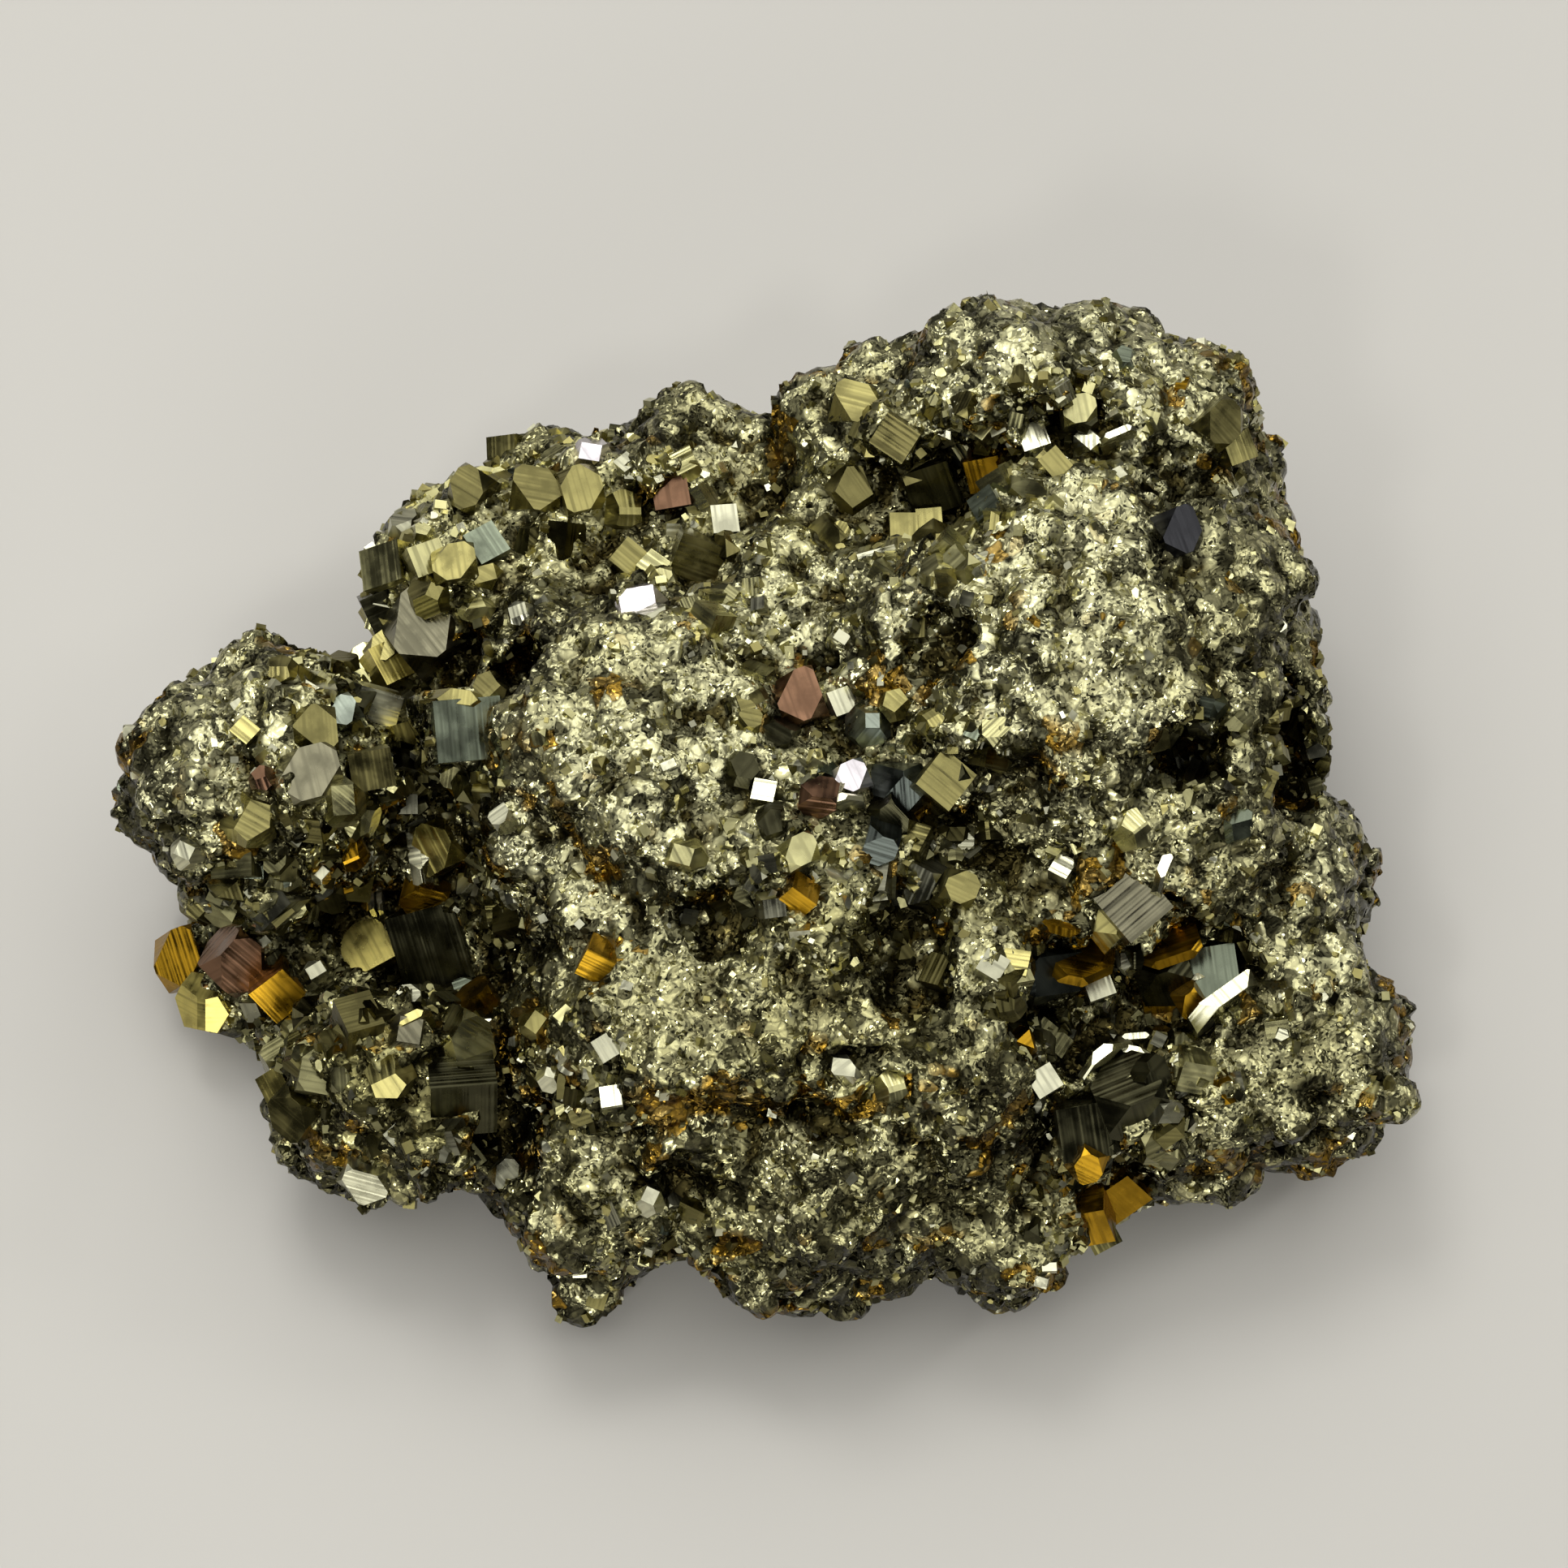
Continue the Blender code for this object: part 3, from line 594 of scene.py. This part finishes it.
def chipped(points, size, slope, step, dome, seed):
    """Height of flat chips: space is split among jittered lattice points, and each one's
    share of the skin leans by its own random slope, stands out by its own random step, and
    falls away from its point by the dome times the squared distance."""
    scaled = points / size
    home = np.floor(scaled)
    nearest = np.full(len(points), np.inf)
    height = np.zeros(len(points))
    for shift in np.ndindex(3, 3, 3):
        cell = home + np.array(shift) - 1
        offset = scaled - cell - lattice_random(cell, seed)
        distance = (offset ** 2).sum(axis=1)
        lean = lattice_random(cell, seed + 1) * 2 - 1
        rise = ((offset * lean).sum(axis=1) * slope * size + (LEVEL - distance) * dome
                + (lattice_random(cell, seed + 2)[:, 0] - 0.5) * step)
        closer = distance < nearest
        nearest = np.where(closer, distance, nearest)
        height = np.where(closer, rise, height)
    return height


ground_points, ground_faces = even_skin(solid, SKIN_STEP)
solid.free()
normals = point_normals(ground_points, ground_faces)
smooth_normals = eased(normals, ground_faces, STEEP[0])
free = np.clip((ground_points[:, 2] - BEDDED) / RAISED, 0, 1)
steep = np.clip((STEEP[1] - smooth_normals[:, 2]) / STEEP[2], 0, 1)
chips = (chipped(ground_points, **CLODS) * (1 + STEEPER * steep)
         + chipped(ground_points, **CHIPS))
free_sides = large_centres + (large_halves[:, None] * OVERGROWN
                              * rng.normal(size=large_centres.shape))
for centre, half in zip(free_sides, large_halves):
    near = MOAT_REACH - np.linalg.norm(ground_points - centre, axis=1) / half
    moat = -MOAT * np.clip(near / MOAT_RIM, 0, 1)
    chips = np.where(near > 0, np.minimum(chips, moat), chips)
ground_points = ground_points + smooth_normals * (chips * free)[:, None]
ground_points[:, 2] = np.maximum(ground_points[:, 2], SKIN_LOWEST)
normals = point_normals(ground_points, ground_faces)
# How deep each point lies in a crease and in a pit: the colours are darkened there as painted
# shade mixed with stain.
sunk = eased(ground_points, ground_faces, CREASE[0]) - ground_points
hollow = np.clip((sunk * normals).sum(axis=1) / CREASE[1], -1, 1)
sunk = eased(ground_points, ground_faces, PIT[0]) - ground_points
pit = np.clip((sunk * eased(normals, ground_faces, PIT[1])).sum(axis=1) / PIT[2], 0, 1)
flank = np.clip((FLANK[1] - eased(normals, ground_faces, FLANK[0])[:, 2]) / FLANK[2], 0, 1)

# Massive pyrite, metal-bright where it broke. It is made of chips within chips, each with
# its own tilt, so it glints like crumpled foil; the finest are drawn twice their real width
# so that they show. Some are dull with tarnish. Creases and pits are darkened as painted
# shade mixed with iron-oxide stain. Dark chips are painted dark reflections, and on the
# flanks also painted shade. The ochre is partly oxide and partly a painted warm reflection.
# Patches of painted light and shade lighten the tops and darken the lower sides.
FACETS = (  # width, then reach of tilt on the tops and on the steep flanks
    (2.2, 0.3, 0.3), (0.9, 0.4, 0.5), (0.34, 0.7, 1.5), (0.17, 0.75, 0.5))
SEAM, SEAM_TONE = 0.12, 0.45  # between 0.9 mm chips: half width, in chips, and brightness
CLEAN, CLEAN_TILT = 0.22, 0.07  # share of these that broke clean, and how little they tilt
CRUMPLE, CRUMPLE_WIDTH = 0.5, 1.4  # how far the chips' edges wander, and over what width
BRIGHT, DULL = "#d8d4a5", "#98925f"
# The first colour darkens creases and pits as painted shade mixed with iron-oxide stain. The
# second is partly oxide and partly a painted warm reflection. The third, of the dark chips, is
# a painted dark reflection and painted shade.
STAIN_AND_SHADE, OCHRE_AND_WARM_REFLECTION, DARK = "#453e22", "#957425", "#2e2b1a"
DARK_CHIPS = 0.08, 0.75  # share of chips painted dark as a dark reflection: everywhere, and added on the flanks as painted shade
CLUMPED = 2.0  # how strongly the dark chips keep together in patches
TONE_WIDTH, CLUMP_WIDTH, RUST_AND_REFLECTION_WIDTH = 5.0, 3.0, 3.2  # of patches of tone, of dark chips, and of ochre, which is partly rust and partly a painted warm reflection
RUST_AND_REFLECTION_RANGE = 0.655, 0.69  # of the noise: from slightly to wholly coated with ochre, partly oxide and partly a painted warm reflection
DIMMED = 0.92, 0.5  # how bright the finest chips stay where not fresh: on tops, on flanks, where the further darkening is painted shade
SATIN = 0.52, 0.14  # how rough they are there
FRESH = 0.6, 0.85  # of their random number: from tarnished to freshly broken
LIGHT_AND_SHADE_PATCHES = (  # x, v, radius in the view, and strength: tops lightened with painted light (1) and sides and hollows darkened with painted shade (-1)
    (-10, 0, 9, 1), (0, 9, 6, 1), (15, 11, 10, 1), (18, 27, 11, 1), (37, -6, 7, 1),
    (-33, 3, 6, 1), (-21, -17, 7, -0.9), (-3, -20, 9, -0.1), (10, -23, 9, -0.1),
    (-28, -3, 4, -0.6), (3, -9, 6, -0.3),
)
LIGHT_PATCH_REACH = 1.4  # in radii, where a patch's tone ends

massive, tree, output = new_material("massive_pyrite")
place = add_node(tree, "TexCoord").outputs["Object"]
wander = add_node(tree, "TexNoise", [("Vector", place)], Scale=1 / (CRUMPLE_WIDTH * MM))
crumpled = add_node(tree, "VectorMath",
                    [(0, wander.outputs["Color"]), (1, (CRUMPLE * MM * 2,) * 3), (2, place)],
                    operation="MULTIPLY_ADD")
direction = add_node(tree, "NewGeometry").outputs["Normal"]
side = add_node(tree, "Attribute", attribute_name="flank")
# Each width of chip tilts the normal its own way, by its cell's random colour.
for level, (width, on_tops, on_flanks) in enumerate(FACETS):
    cells = add_node(tree, "TexVoronoi", [("Vector", crumpled.outputs["Vector"])],
                     Scale=1 / (width * MM))
    turn = add_node(tree, "VectorMath",
                    [(0, cells.outputs["Color"]), (1, (0.5, 0.5, 0.5))], operation="SUBTRACT")
    reach = add_node(tree, "MapRange", [("Value", side.outputs["Fac"])],
                     To_Min=on_tops, To_Max=on_flanks)
    if level == 1:
        seams = add_node(tree, "TexVoronoi", [("Vector", crumpled.outputs["Vector"])],
                         feature="DISTANCE_TO_EDGE", Scale=1 / (width * MM))
        seamed = add_node(tree, "MapRange", [("Value", seams.outputs["Distance"])],
                          From_Max=SEAM, To_Min=SEAM_TONE)
        rough = add_node(tree, "SeparateColor", [("Color", cells.outputs["Color"])])
        rust_and_reflection_noise = add_node(tree, "TexNoise", [("Vector", cells.outputs["Position"])],
                         Scale=1 / (RUST_AND_REFLECTION_WIDTH * MM))
    if level > 1:
        reach = add_node(tree, "MapRange", [("Value", rough.outputs["Blue"]),
                                            ("To Max", reach.outputs["Result"])],
                         From_Min=CLEAN - 0.05, From_Max=CLEAN + 0.05, To_Min=CLEAN_TILT)
    tilted = add_node(tree, "VectorMath", [(0, turn.outputs["Vector"]),
                                           (1, reach.outputs["Result"]),
                                           (2, direction)],
                      operation="MULTIPLY_ADD")
    direction = tilted.outputs["Vector"]
glitter = add_node(tree, "VectorMath", [(0, direction)], operation="NORMALIZE")
# Colour: dull or bright in random patches, lightened on the tops and darkened on the lower
# sides by patches of painted light and shade, darkened in creases and pits as painted shade
# mixed with stain, then dark chips (painted dark reflection and painted shade) and ochre
# chips (partly oxide, partly a painted warm reflection).
clouds = add_node(tree, "TexNoise", [("Vector", place)],
                  Scale=1 / (TONE_WIDTH * MM), Detail=4.0)
clumps = add_node(tree, "TexNoise", [("Vector", place)],
                  Scale=1 / (CLUMP_WIDTH * MM), Detail=1.0)
# Patches of painted light and shade: the upper tops lightened, the lower sides and hollows
# darkened.
painted_light_and_shade = add_node(tree, "Attribute", attribute_name="painted_light_and_shade")
tone_and_painted_light = add_node(tree, "Math",
                    [(0, painted_light_and_shade.outputs["Fac"]), (1, 0.5), (2, clouds.outputs["Fac"])],
                    operation="MULTIPLY_ADD")
tone = add_node(tree, "Mix",
                [("Factor", tone_and_painted_light.outputs["Value"]), ("A", (*linear(DULL), 1)),
                 ("B", (*linear(BRIGHT), 1))], data_type="RGBA")
crease = add_node(tree, "Attribute", attribute_name="hollow")
deep = add_node(tree, "Attribute", attribute_name="pit")
# Darker deep in creases and pits: painted shade mixed with iron-oxide stain.
sheltered = add_node(tree, "Math", [(0, crease.outputs["Fac"]),
                                    (1, deep.outputs["Fac"])], operation="ADD")
crease_shade_and_stain = add_node(tree, "MapRange", [("Value", sheltered.outputs["Value"])],
                 From_Min=0.0, From_Max=1.1)
shaded_and_stained = add_node(tree, "Mix",
                   [("Factor", crease_shade_and_stain.outputs["Result"]), ("A", tone.outputs["Result"]),
                    ("B", (*linear(STAIN_AND_SHADE), 1))], data_type="RGBA")
# Dark chips stand for facets that reflect the dark room: painted dark reflection, with more of
# them on the flanks as painted shade.
sides = add_node(tree, "Math",
                 [(0, side.outputs["Fac"]), (1, DARK_CHIPS[1]), (2, DARK_CHIPS[0])],
                 operation="MULTIPLY_ADD")
patches = add_node(tree, "Math",
                   [(0, clumps.outputs["Fac"]), (1, CLUMPED), (2, sides.outputs["Value"])],
                   operation="MULTIPLY_ADD")
chosen = add_node(tree, "Math", [(0, patches.outputs["Value"]),
                                 (1, rough.outputs["Green"])], operation="SUBTRACT")
dark = add_node(tree, "MapRange", [("Value", chosen.outputs["Value"])],
                From_Min=CLUMPED / 2 - 0.05, From_Max=CLUMPED / 2 + 0.05, To_Max=0.85)
darkened = add_node(tree, "Mix",
                    [("Factor", dark.outputs["Result"]), ("A", shaded_and_stained.outputs["Result"]),
                     ("B", (*linear(DARK), 1))], data_type="RGBA")
# Ochre patches, a little more on the flanks: partly iron-oxide coating, partly a painted warm
# reflection.
rust_and_flank_reflection = add_node(tree, "Math",
                   [(0, side.outputs["Fac"]), (1, 0.12), (2, rust_and_reflection_noise.outputs["Fac"])],
                   operation="MULTIPLY_ADD")
oxide = add_node(tree, "MapRange", [("Value", rust_and_flank_reflection.outputs["Value"])],
                 From_Min=RUST_AND_REFLECTION_RANGE[0], From_Max=RUST_AND_REFLECTION_RANGE[1], To_Max=0.85)
coated = add_node(tree, "Mix",
                  [("Factor", oxide.outputs["Result"]), ("A", darkened.outputs["Result"]),
                   ("B", (*linear(OCHRE_AND_WARM_REFLECTION), 1))], data_type="RGBA")
# Finish: satin where a chip has tarnished, bright where it is fresh, dark along its seams, and
# darker on the flanks as painted shade.
shine = add_node(tree, "SeparateColor", [("Color", cells.outputs["Color"])])
satin = add_node(tree, "MapRange", [("Value", side.outputs["Fac"])],
                 To_Min=SATIN[0], To_Max=SATIN[1])
dullness = add_node(tree, "MapRange", [("Value", shine.outputs["Red"]),
                                       ("To Min", satin.outputs["Result"])],
                    From_Min=FRESH[0], From_Max=FRESH[1], To_Max=0.14)
# On the flanks, chips that are not fresh are darkened further: painted shade.
dimmest = add_node(tree, "MapRange", [("Value", side.outputs["Fac"])],
                   To_Min=DIMMED[0], To_Max=DIMMED[1])
cleaner = add_node(tree, "MapRange", [("Value", shine.outputs["Red"]),
                                      ("To Min", dimmest.outputs["Result"])],
                   From_Min=FRESH[0], From_Max=FRESH[1], To_Max=1.15)
shaded = add_node(tree, "Math", [(0, seamed.outputs["Result"]),
                                 (1, cleaner.outputs["Result"])],
                  operation="MULTIPLY")
cracked = add_node(tree, "VectorMath", [(0, coated.outputs["Result"]),
                                        (1, shaded.outputs["Value"])],
                   operation="MULTIPLY")
skin_look = add_node(tree, "BsdfPrincipled",
                     [("Base Color", cracked.outputs["Vector"]),
                      ("Roughness", dullness.outputs["Result"]),
                      ("Normal", glitter.outputs["Vector"])], Metallic=1.0)
tree.links.new(output.inputs["Surface"], skin_look.outputs["BSDF"])

ground = new_piece("massive_pyrite", ground_points, ground_faces.ravel(),
                   np.full(len(ground_faces), 4), massive)
# Patches of painted light and shade, placed by where they stand in the view.
x, v = (ground_points - MIDDLE) @ RIGHT, (ground_points - MIDDLE) @ UP
patch_light_and_shade = sum(strength * np.clip(LIGHT_PATCH_REACH - np.hypot(x - at_x, v - at_v) / radius, 0, 1)
            for at_x, at_v, radius, strength in LIGHT_AND_SHADE_PATCHES)
for name, values in (("hollow", hollow), ("flank", flank), ("pit", pit),
                     ("painted_light_and_shade", np.clip(patch_light_and_shade, -1, 1))):
    set_attribute(ground, name, "FLOAT", values)
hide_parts("pyrite_specimen")

# ---------------------------------------------------------------------------------------
# The middling crystals. Half a millimetre to two wide, they crowd where the lump had room
# and are rare where it grew massive. Each is sunk in the lump and in its neighbours.
RICH = (  # patches in the view: x, v, radius, share of places grown, how large, how bright they are painted (painted light and shade)
    (-18, 17.5, 4.5, 0.35, 1.4, 1.15), (-11, 19.5, 3.5, 0.3, 1.2, 1.15),
    (-5.5, 17, 4, 0.3, 1.1, 1.1), (-21, 12, 3.5, 0.45, 1.4, 1.0), (-2, 11, 4, 0.2, 0.9, 0.9),
    (-24, 6, 4.5, 0.35, 1.2, 0.95), (-23, -2, 4, 0.35, 1.0, 0.7), (-19, 2, 3, 0.5, 1.0, 0.7),
    (-19, -7, 4, 0.55, 1.1, 0.6), (-29, -10.5, 6, 0.4, 1.2, 0.5),
    (-21, -16.5, 6, 0.2, 0.85, 0.4), (-11.5, -16, 4, 0.3, 0.8, 0.85),
    (3, 3.5, 5, 0.35, 1.0, 0.65), (9, 1, 5, 0.4, 1.1, 0.65), (1, -5, 4.5, 0.3, 0.9, 0.75),
    (10, 19, 5.5, 0.4, 1.0, 0.85), (19, 22.5, 4, 0.35, 0.8, 0.95), (28.5, 24, 3, 0.2, 0.7, 1.0),
    (19, -11, 5, 0.5, 1.0, 0.65), (25, -12, 5, 0.45, 1.0, 0.7), (21, -18, 4, 0.45, 1.0, 0.6),
    (20, -24, 3.5, 0.35, 0.9, 0.8), (-8, -26, 4, 0.12, 0.8, 0.8),
    (25.5, 2.9, 3, 0.35, 0.9, 0.5), (31.9, 2.9, 3, 0.35, 0.9, 0.55),
    (10.7, 10.3, 2.5, 0.3, 0.8, 0.7), (8.4, -7.2, 3, 0.3, 0.9, 0.7),
)
SPARSE = (0.02, 0.55, 0.9)  # share, size and painted brightness elsewhere
INSIDE, FADING = 3, 2.4  # cover is the first less the second for each radius from the middle
CRYSTAL_GAP, CRYSTAL_HALF = 0.8, (0.4, 0.95)  # between places, and least and most half width
CRYSTAL_ROOM = 1.3, 0.4  # they keep this many half widths and mm from a large one's centre
CRYSTAL_LIFT = 0.8  # none grew with its place nearer the table
SUNK = 0.85  # of its half width
SHADED = 0.6  # how much darker crystals are painted in the most sheltered places: painted shade mixed with tarnish
DRAWS = 3  # random places drawn for each cell, so that few cells go without


def skin_samples(rng, gap):
    """Random places on the ground, one to each cell of a cubic grid gap wide: point, unit
    normal and how sheltered it is. Faces are drawn by their area."""
    vectors = face_vectors(ground_points, ground_faces)
    areas = np.linalg.norm(vectors, axis=1)
    drawn = rng.choice(len(areas), int(areas.sum() / gap ** 2 * DRAWS), p=areas / areas.sum())
    a, b = rng.random((2, len(drawn), 1))
    quad = ground_points[ground_faces[drawn]]
    places = (quad[:, 0] * (1 - a) * (1 - b) + quad[:, 1] * a * (1 - b)
              + quad[:, 2] * a * b + quad[:, 3] * (1 - a) * b)
    kept = np.unique(np.floor(places / gap).astype(int), axis=0, return_index=True)[1]
    shelter = np.clip(hollow, 0, 1) + pit
    return places[kept], unit(vectors[drawn[kept]]), shelter[ground_faces[drawn[kept], 0]]


def picked(rng, count, choices):
    """One name for each of count, drawn by weight from (name, weight) pairs."""
    names, weights = zip(*choices)
    return np.array(names)[rng.choice(len(names), count, p=np.array(weights) / sum(weights))]


# Pyrite grains: the same sulphide metal in faces too small to show lines, as bright as where
# it broke, with a faint unevenness that never lets two of them shine alike.
RIPPLE_WIDTH, DIMPLE_WIDTH, DIMPLE_TILT = 0.9, 0.22, 0.06

grains, tree, output = new_material("pyrite_grains")
place = add_node(tree, "TexCoord").outputs["Object"]
tint = add_node(tree, "Attribute", attribute_name="tint")
ripple = add_node(tree, "TexNoise", [("Vector", place)], Scale=1 / (RIPPLE_WIDTH * MM))
cells = add_node(tree, "TexVoronoi", [("Vector", place)], Scale=1 / (DIMPLE_WIDTH * MM))
turn = add_node(tree, "VectorMath",
                [(0, cells.outputs["Color"]), (1, (0.5, 0.5, 0.5))], operation="SUBTRACT")
geometry = add_node(tree, "NewGeometry")
lean = add_node(tree, "VectorMath",
                [(0, turn.outputs["Vector"]), (1, (DIMPLE_TILT,) * 3),
                 (2, geometry.outputs["Normal"])], operation="MULTIPLY_ADD")
glint = add_node(tree, "VectorMath", [(0, lean.outputs["Vector"])], operation="NORMALIZE")
gloss = add_node(tree, "MapRange", [("Value", ripple.outputs["Fac"])],
                 From_Min=0.3, From_Max=0.7, To_Min=0.2, To_Max=0.46)
grain_look = add_node(tree, "BsdfPrincipled",
                      [("Base Color", tint.outputs["Color"]),
                       ("Roughness", gloss.outputs["Result"]),
                       ("Normal", glint.outputs["Vector"])], Metallic=1.0)
tree.links.new(output.inputs["Surface"], grain_look.outputs["BSDF"])


def richness(places):
    """For each place, the share of such places that grew a crystal, how large, and how bright
    its crystal is painted, as painted light and shade: those of the rich patch that covers it
    most, where cover falls from 1 inside to 0 past the rim."""
    x, v = (places - MIDDLE) @ RIGHT, (places - MIDDLE) @ UP
    share, large, crystal_light_and_shade = (np.full(len(places), value) for value in SPARSE)
    for patch_x, patch_v, radius, grown_share, size, shine in RICH:
        off = np.hypot(x - patch_x, v - patch_v) / radius
        cover = np.clip(INSIDE - FADING * off, 0, 1)
        better = cover * grown_share > share
        share = np.where(better, cover * grown_share, share)
        large = np.where(better, size, large)
        crystal_light_and_shade = np.where(better, shine, crystal_light_and_shade)
    return share, large, crystal_light_and_shade


def away_from(places, centres, reaches):
    """Whether each place is outside every ball of the given centres and reaches, worked
    out for a fortieth of the places at a time."""
    out = np.ones(len(places), bool)
    for chunk in np.array_split(np.arange(len(places)), 40):
        gap = np.linalg.norm(places[chunk, None] - centres[None], axis=2) - reaches
        out[chunk] = (gap > 0).all(axis=1)
    return out


rng = np.random.default_rng(6)
places, facing, depth = skin_samples(rng, CRYSTAL_GAP)
share, large, crystal_light_and_shade = richness(places)
grew = (rng.random(len(places)) < share) & (places[:, 2] > CRYSTAL_LIFT)
grew &= away_from(places, large_centres, large_halves * CRYSTAL_ROOM[0] + CRYSTAL_ROOM[1])
centres, facings, large, depth = places[grew], facing[grew], large[grew], depth[grew]
# Crystals deep in creases and pits are painted darker: painted shade mixed with tarnish.
crystal_light_and_shade = crystal_light_and_shade[grew] * (1 - SHADED * np.clip(depth, 0, 1))
count = len(centres)
halves = (CRYSTAL_HALF[0] + np.ptp(CRYSTAL_HALF) * rng.random(count) ** 2) * large
kinds = picked(rng, count, (("cube", 0.3), ("clipped", 0.3), ("pyritohedron", 0.4)))
# The few black ones are a painted dark reflection; the ochre ones are partly limonite stain and
# partly a painted warm reflection.
shade = picked(rng, count, (("fresh", 0.36), ("silver", 0.2), ("olive", 0.22), ("dull", 0.16),
                            ("ochre", 0.015), ("slate", 0.02), ("black", 0.025)))
stretch = rng.uniform(0.75, 1.3, (count, 3)) * halves[:, None]
centres = centres - facings * halves[:, None] * SUNK
colours = mixed_colours(rng, shade, UNLIKE[1]) * crystal_light_and_shade[:, None]
crystal_piece("middling_crystals", kinds, centres, turns(unit(rng.normal(size=(count, 4)))),
              stretch, colours, grown_faces)

# ---------------------------------------------------------------------------------------
# The grains. Pyrite grains a quarter to two thirds of a millimetre wide grew between the
# crystals and, more thinly, on the massive skin, each part sunk in its neighbours.
GRAIN_GAP, GRAIN_HALF = 0.5, (0.14, 0.32)  # between places, and least and most half width
GRAIN_SHARE = (0.03, 0.7)  # share of places grown: everywhere, and added in the rich patches
GRAIN_ROOM = 1.4  # half widths that they keep from a large crystal's centre
GRAIN_LIFT = 0.5  # none grew with its place nearer the table
GRAIN_SUNK = 0.4  # of its half width

places, facing, depth = skin_samples(rng, GRAIN_GAP)
share, _, crystal_light_and_shade = richness(places)
grew = rng.random(len(places)) < GRAIN_SHARE[0] + GRAIN_SHARE[1] * share
grew &= places[:, 2] > GRAIN_LIFT
grew &= away_from(places, large_centres, large_halves * GRAIN_ROOM)
places, facing = places[grew], facing[grew]
# Grains deep in creases and pits are painted darker: painted shade mixed with tarnish.
crystal_light_and_shade = crystal_light_and_shade[grew] * (1 - SHADED * np.clip(depth[grew], 0, 1))
count = len(places)
halves = GRAIN_HALF[0] + np.ptp(GRAIN_HALF) * rng.random(count) ** 1.6
stretch = rng.uniform(0.7, 1.4, (count, 3)) * halves[:, None]
kinds = picked(rng, count, (("cube", 0.7), ("pyritohedron", 0.15), ("clipped", 0.15)))
# The few black grains are a painted dark reflection.
shade = picked(rng, count, (("fresh", 0.42), ("silver", 0.24), ("olive", 0.19),
                            ("dull", 0.13), ("black", 0.02)))
colours = mixed_colours(rng, shade, UNLIKE[1]) * crystal_light_and_shade[:, None]
centres = places - facing * halves[:, None] * GRAIN_SUNK
for number, portion in enumerate(np.array_split(rng.permutation(count), 3), 1):
    crystal_piece(f"grain_crust_{number}", kinds[portion], centres[portion],
                  turns(unit(rng.normal(size=(len(portion), 4)))), stretch[portion],
                  colours[portion], grains)

# ---------------------------------------------------------------------------------------
# The table and the light: a plain pale top under one broad dim box overhead. A small bright
# window behind and above gives the white glints, and three weaker ones, at the side and low
# in front, find the faces that lean away from it.
FLOOR = "#bebbb3"
TABLE_HALF = 1500.0
ROOM = (0.06, 0.06, 0.06, 1)  # dim grey walls all round

edge = TABLE_HALF * MM
floor_mesh = bpy.data.meshes.new("table_top")
floor_mesh.from_pydata([(-edge, -edge, 0), (edge, -edge, 0), (edge, edge, 0),
                        (-edge, edge, 0)], [], [(0, 1, 2, 3)])
board, tree, output = new_material("pale_board")
pale_look = add_node(tree, "BsdfPrincipled", [("Base Color", (*linear(FLOOR), 1))],
                     Roughness=0.7)
tree.links.new(output.inputs["Surface"], pale_look.outputs["BSDF"])
floor_mesh.materials.append(board)
table_top = bpy.data.objects.new("table_top", floor_mesh)
bpy.context.scene.collection.objects.link(table_top)

LIGHTS = {
    # azimuth from +Y to the right and height of where it shines from, distance, size, watts
    "overhead": (-10, 70, 450, 800, 3.15),
    "window": (-20, 62, 450, 150, 0.5),
    "side": (75, 35, 420, 70, 0.2),
    "front": (200, 48, 420, 50, 0.25),
    "low": (188, 16, 420, 240, 0.75),
}
for name, (azimuth, height, far, wide, power) in LIGHTS.items():
    lamp = bpy.data.lights.new(name, "AREA")
    lamp.size, lamp.energy = wide * MM, power
    out = Vector((math.sin(math.radians(azimuth)) * math.cos(math.radians(height)),
                  math.cos(math.radians(azimuth)) * math.cos(math.radians(height)),
                  math.sin(math.radians(height))))
    light = bpy.data.objects.new(name, lamp)
    light.matrix_world = (Matrix.Translation(Vector(MIDDLE) * MM + out * far * MM)
                          @ out.to_track_quat("Z", "Y").to_matrix().to_4x4())
    bpy.context.scene.collection.objects.link(light)

world = bpy.data.worlds.new("studio")
world.use_nodes = True
world.node_tree.nodes["Background"].inputs["Color"].default_value = ROOM
bpy.context.scene.world = world
bpy.context.scene.view_settings.view_transform = "Standard"
